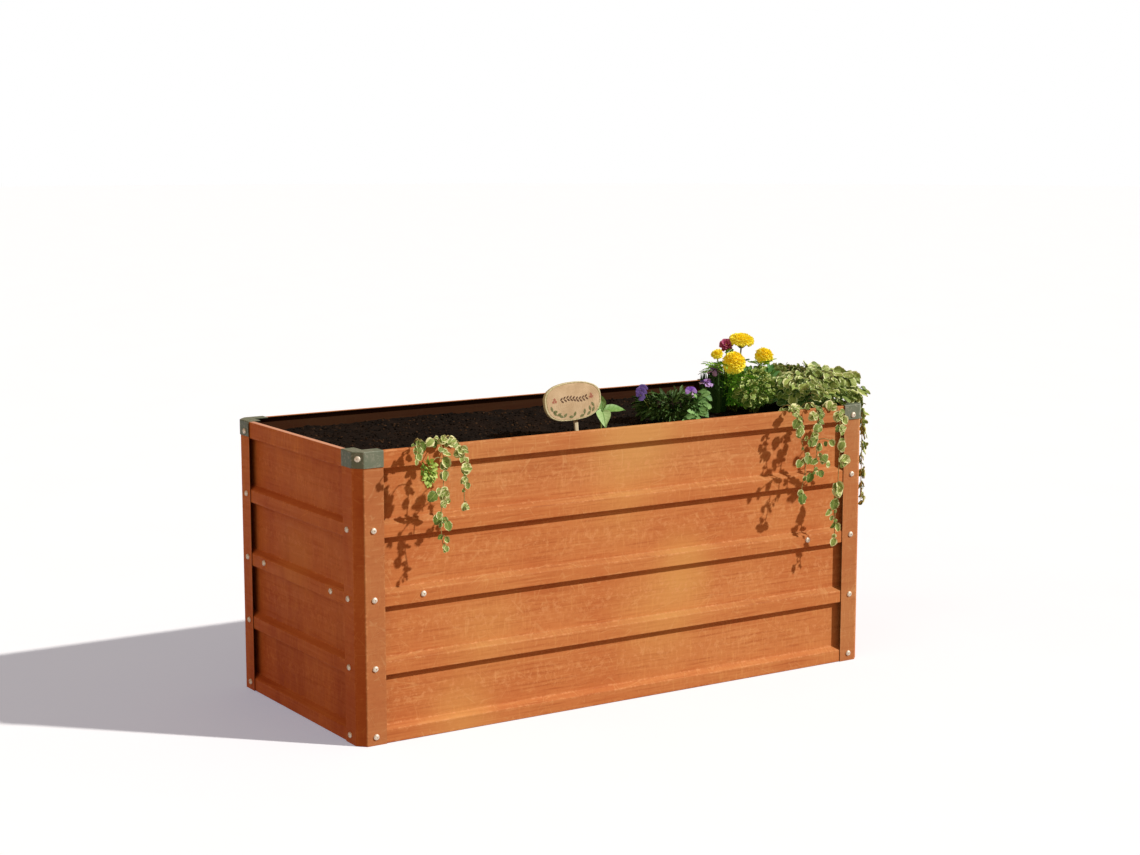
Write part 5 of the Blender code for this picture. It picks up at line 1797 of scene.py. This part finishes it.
# Stem radius, points from the root, then the bloom's middle, facing, radius, height, and how far round
FLOWERS = {
    "marigold_1": (0.0018, [(0.400, -0.075, 0.500), (0.398, -0.080, 0.560), (0.383, -0.088, 0.612)],
                   (0.380, -0.092, 0.636), (-0.15, -0.35, 0.90), 0.0262, 0.0260, 2.45),
    "marigold_2": (0.0018, [(0.412, -0.066, 0.500), (0.416, -0.058, 0.570), (0.460, -0.012, 0.655)],
                   (0.462, -0.010, 0.672), (-0.05, -0.20, 0.97), 0.0285, 0.0160, 1.95),
    "marigold_3": (0.0018, [(0.424, -0.078, 0.500), (0.429, -0.076, 0.575), (0.452, -0.072, 0.610),
                            (0.474, -0.069, 0.628)],
                   (0.478, -0.070, 0.642), (0.20, -0.35, 0.90), 0.0215, 0.0200, 2.3),
    "marigold_4": (0.0015, [(0.392, -0.058, 0.500), (0.388, -0.050, 0.570), (0.388, -0.022, 0.638)],
                   (0.388, -0.022, 0.647), (-0.30, -0.30, 0.90), 0.0135, 0.0120, 2.0),
    "cosmos": (0.0012, [(0.405, -0.048, 0.500), (0.406, -0.040, 0.570), (0.432, 0.005, 0.652)],
               (0.430, 0.002, 0.660), (-0.45, -0.75, 0.50), 0.0125, 0.0060, 1.45),
}
PETAL_REACH = 0.0105
FULL_HEAD = 0.0262         # radius of a flower head with the full number of petals
FULL_PETALS = 400


def bloom_piece(name, petals, shapes, paint, **values):
    return BLOOM.fill(name, bpy.data.meshes.new(name), shapes, paint, Petals=petals, **values)


def flower_head(name, order, size, height, shapes, yellow_paint, **stance):
    """Ball of ruffled petals over a closed heart."""
    petals = bloom_piece(f"{name}_petals", round(FULL_PETALS * (size / FULL_HEAD) ** 1.8), shapes,
                         yellow_paint, Radius=size - PETAL_REACH * 0.95, Height=height - PETAL_REACH * 0.95,
                         Inner=0.70, Outer=1.0, Open=0.55, Seed=30 + order, **stance)
    hand_over(petals, "yellow_petal", f"{name}_bloom")
    bm = bmesh.new()
    bmesh.ops.create_icosphere(bm, subdivisions=3, radius=1.0)
    for vert in bm.verts:
        lumpy = 1 + 0.08 * noise.noise(vert.co * 7)
        wide = (size - PETAL_REACH * 0.62) * lumpy
        vert.co = (vert.co.x * wide, vert.co.y * wide, vert.co.z * (height - PETAL_REACH * 0.62) * lumpy)
    heart = mesh_from(f"{name}_heart", bm)
    heart.transform(Matrix.Translation(stance["Place"]) @ Euler(stance["Turn"]).to_matrix().to_4x4())
    store(heart, "along", [0.30] * len(heart.vertices))
    heart.shade_smooth()
    hand_over(new_object(f"{name}_heart", heart, yellow_paint), "yellow_petal")


def cosmos_head(name, shapes, yellow_paint, pink_paint, **stance):
    """Open ring of broad petals round a heart of small lumps."""
    petals = bloom_piece(f"{name}_petals", 44, shapes, pink_paint, Radius=0.0030, Height=0.0040, Spread=1.5,
                         Inner=0.70, Outer=1.0, Open=0.3, Seed=5, **stance)
    hand_over(petals, "pink_petal", f"{name}_bloom")
    heart = bloom_piece(f"{name}_heart", 26, [crumb(4)], yellow_paint, Radius=0.0030, Height=0.0060,
                        Spread=1.2, Inner=0.0009, Outer=0.0009, Open=0.0, Seed=6, **stance)
    hand_over(heart, "yellow_petal")


def build_flowers(yellow_paint, pink_paint, stem_paint):
    ruffled = leaf_set(PETAL_REACH, 0.0062, PETAL_OUTLINE, ((0.6, 0.15, 1), (0.3, 0.30, 2), (-0.4, 0.0, 3)),
                       ruffle=0.22, uneven=0.12, thick=0.0005)
    wide = leaf_set(0.0130, 0.0085, PETAL_OUTLINE, ((0.15, 0.1, 4), (0.15, 0.25, 5), (0.15, -0.1, 6)),
                    ruffle=0.06, uneven=0.05, thick=0.0005)
    for order, (name, values) in enumerate(FLOWERS.items()):
        radius, points, middle, facing, size, height, reach_round = values
        route = smooth_route(points, 6)
        turn = tuple(looking(Vector(facing).normalized()).to_euler())
        stalk = stems(f"{name}_stalk", [route], radius, stem_paint, tip=0.8, sides=8)
        hand_over(stalk, "stem", f"{name}_stem")
        if name == "cosmos":
            cosmos_head(name, wide, yellow_paint, pink_paint, Place=middle, Turn=turn)
        else:
            flower_head(name, order, size, height, ruffled, yellow_paint, Place=middle, Turn=turn,
                        Spread=reach_round)
        aim = Vector(middle) - route[-1]
        cup = turned(f"{name}_cup", cup_profile(size * 0.50, aim.length), 14)
        aim.normalize()
        cup.transform(Matrix.Translation(route[-1] - aim * 0.002) @ looking(aim).to_matrix().to_4x4())
        soften(cup, 50)
        hand_over(new_object(f"{name}_cup", cup, stem_paint), "stem")


def cup_profile(radius, height):
    """Green cup under a flower head."""
    shares = ((0.0, 1.0), (0.55, 1.0), (0.80, 0.80), (0.74, 0.45), (0.50, 0.18), (0.25, 0.02), (0.0, 0.0))
    return [(out * radius, up * height) for out, up in shares]


def build_marigold_foliage(leaf_paint, back_paint, stem_paint):
    """Compound leaves up the marigold stems, shoots between them, and broad leaves behind."""
    luck = random.Random(21)
    shapes = [fern_leaf(0.046, 7, 0.0175, 2), fern_leaf(0.040, 6, 0.0165, 5), fern_leaf(0.050, 8, 0.0170, 9)]
    routes = [smooth_route(points, 6) for _, points, *_ in FLOWERS.values()]
    shoots = []
    for _, out, reach in over_disc(30, 1.0):
        x = 0.397 + 0.045 * reach * out.x
        y = -0.072 + 0.050 * reach * out.y
        top = luck.uniform(0.585, 0.605) + (0.030 if x < 0.385 and y > -0.075 else 0.0)
        shoots.append(risen(MARIGOLD_ROOT, (x, y, top), 0.3, 6))
    spots = []
    for route in routes + shoots:
        usable = [place for place in route if 0.540 < place.z < 0.640]
        for order in range(8):
            place = usable[(order * len(usable)) // 8]
            heading = ray(order * NEXT_TURN + luck.uniform(-0.5, 0.5), luck.uniform(0.1, 0.9))
            spots.append(leaf_spot(luck, order, place, heading, (0, -0.4, 1), 0.55, 0.90))
    ferns = stood("marigold_fern_leaves", spots, shapes, leaf_paint, 0.2, 4)
    hand_over(ferns, "green_leaf", "marigold_leaves")
    hand_over(stems("marigold_shoots", shoots, 0.0013, stem_paint), "stem")
    broad = leaf_set(0.030, 0.014, SPOON_OUTLINE, ((0.4, 0.2, 7), (0.4, 0.4, 8), (0.4, 0.1, 9)),
                     ruffle=0.05, uneven=0.08, stalk=0.03)
    spots = []
    for order in range(60):
        place = Vector((luck.uniform(0.415, 0.492), luck.uniform(-0.085, -0.030), luck.uniform(0.578, 0.604)))
        heading = Vector((luck.uniform(-0.8, 0.8), luck.uniform(-0.9, 0.5), luck.uniform(0.5, 1.2)))
        spots.append(leaf_spot(luck, order, place, heading, (0.2, -0.8, 0.5), 0.6, 1.0))
    hand_over(stood("back_broad_leaves", spots, broad, back_paint, 0.15), "green_leaf")


# ---- seedling

SEEDLING_ROUTE = [(0.010, -0.142, 0.500), (0.010, -0.142, 0.540), (0.012, -0.142, 0.566)]
# Degrees: heading, rise at the base and roll, then droop, length, width and how pale
SEEDLING_LEAVES = [(-112, 6, 0, 1.05, 0.033, 0.030, 0.9), (-18, 24, 42, 0.70, 0.050, 0.022, 0.15),
                   (60, 58, -10, 0.10, 0.036, 0.019, 0.3)]


def build_seedling(leaf_paint, stem_paint):
    route = smooth_route(SEEDLING_ROUTE, 4)
    hand_over(stems("seedling_stalk", [route], 0.002, stem_paint, tip=0.8, sides=8), "stem", "seedling_stem")
    for order, (heading, rise, roll, droop, length, width, pale) in enumerate(SEEDLING_LEAVES):
        blade = leaf(length, width, rounded(14, 0.0, 0.85, 0.85), lanes=9, cup=0.28, arch=droop, ruffle=0.03,
                     uneven=0.015, thick=0.0009, seed=order + 1)
        mesh = blade.mesh(f"seedling_blade_{order + 1}")
        store(mesh, "tint", [pale] * len(mesh.vertices))
        turn = turn_by(heading - 90, "Z") @ turn_by(rise, "X") @ turn_by(roll, "Y")
        mesh.transform(Matrix.Translation(route[-1] - UP * 0.001) @ turn)
        hand_over(new_object(mesh.name, mesh, leaf_paint), "green_leaf", f"seedling_leaf_{order + 1}")


# ---- everything together

STAND = stand_recipe()
SPREAD = spread_recipe()
BLOOM = bloom_recipe()
STEMS = stem_recipe()

build_stage()
add_sun("sun", SUN_FROM, SUN_STRENGTH, SUN_SPREAD, SUN_COLOUR)
add_sun("sky", SKY_FROM, SKY_STRENGTH, SKY_SPREAD, SKY_COLOUR)
light_room()
add_camera()

steel = painted_steel()
build_walls(steel)
build_posts(steel)
build_caps(cap_paint())
build_bolts(bright_steel("bolt_steel", (212, 202, 186), 0.45, 0.55))
brace_metal = bright_steel("brace_steel", (150, 150, 148), 0.45, 0.9)
for corner in CORNERS:
    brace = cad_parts[f"corner_brace_{corner}"].data.materials
    brace.clear()
    brace.append(brace_metal)

ground = dark_soil()
build_soil(ground)
build_crumbs(ground)
build_board(board_wood())
build_stake(stake_wood())
build_garland(flat_paint("brown_paint", (96, 66, 42)), flat_paint("green_paint", (116, 118, 70)),
              flat_paint("red_paint", (176, 96, 74)))

young_stem = stem_finish("young_stem", (104, 122, 56), (140, 148, 78))
tan_stem = stem_finish("tan_stem", (150, 136, 84), (184, 168, 110))
pink_stem = stem_finish("pink_stem", (128, 96, 66), (150, 128, 84))
variegated = leaf_finish("variegated_leaf", (90, 116, 46), (160, 176, 92), (180, 192, 120),
                         stem=(140, 120, 84), rim=((232, 236, 180), 0.93, 0.30))
trailing = leaf_finish("trailing_leaf", (84, 114, 36), (150, 168, 84), (176, 186, 112),
                       stem=(150, 140, 90), rim=((228, 226, 170), 0.90, 0.50))
# Painted shade: the mound's inner leaves are coloured darker for the shade inside the mound
inner_leaf = leaf_finish("inner_leaf", (48, 68, 26), (88, 108, 50), (98, 116, 60), stem=(82, 72, 44))
curly_leaf = leaf_finish("curly_leaf", (80, 114, 34), (138, 160, 70), (156, 174, 88),
                         stem=(120, 128, 66), rim=((204, 214, 140), 0.95, 0.35))
tuft_leaf = leaf_finish("tuft_leaf", (112, 156, 40), (204, 220, 122), (200, 216, 124), stem=(124, 142, 62))
dark_leaf = leaf_finish("dark_leaf", (30, 52, 20), (84, 118, 54), (100, 132, 70), stem=(60, 72, 36),
                        glow=0.015)
fresh_leaf = leaf_finish("fresh_leaf", (60, 106, 44), (144, 186, 112), (160, 198, 132), stem=(100, 116, 58))
back_leaf = leaf_finish("back_leaf", (70, 128, 62), (126, 172, 104), (120, 168, 100), stem=(90, 110, 60))
fern_green = leaf_finish("fern_green", (94, 148, 34), (156, 202, 74), (162, 202, 90), stem=(90, 104, 46))
strap_leaf = leaf_finish("strap_leaf", (24, 48, 20), (62, 92, 42), (72, 98, 52), stem=(50, 60, 30))
seedling_leaf = leaf_finish("seedling_leaf", (90, 140, 48), (170, 200, 138), (78, 128, 40),
                            stem=(110, 130, 62))
yellow = petal_finish("yellow_petal", (240, 190, 8), (252, 234, 20), (255, 248, 96), glow=0.07)
purple = petal_finish("purple_petal", (96, 50, 140), (108, 64, 170), (134, 92, 188), pale=(196, 164, 206))
faded_purple = petal_finish("faded_petal", (60, 44, 84), (76, 54, 120), (96, 74, 138))
lavender = petal_finish("lavender_petal", (128, 84, 176), (150, 106, 204), (178, 140, 220),
                        pale=(206, 180, 220))
pink = petal_finish("pink_petal", (140, 48, 84), (184, 80, 122), (200, 108, 144))

build_trailing(trailing, tuft_leaf, tan_stem)
build_mound(variegated, inner_leaf, pink_stem)
build_curly(curly_leaf, young_stem)
build_viola(dark_leaf, fresh_leaf, purple, faded_purple, young_stem)
build_iris(strap_leaf, lavender, young_stem)
build_marigold_foliage(fern_green, back_leaf, young_stem)
build_flowers(yellow, pink, young_stem)
build_seedling(seedling_leaf, young_stem)

bpy.context.view_layer.update()
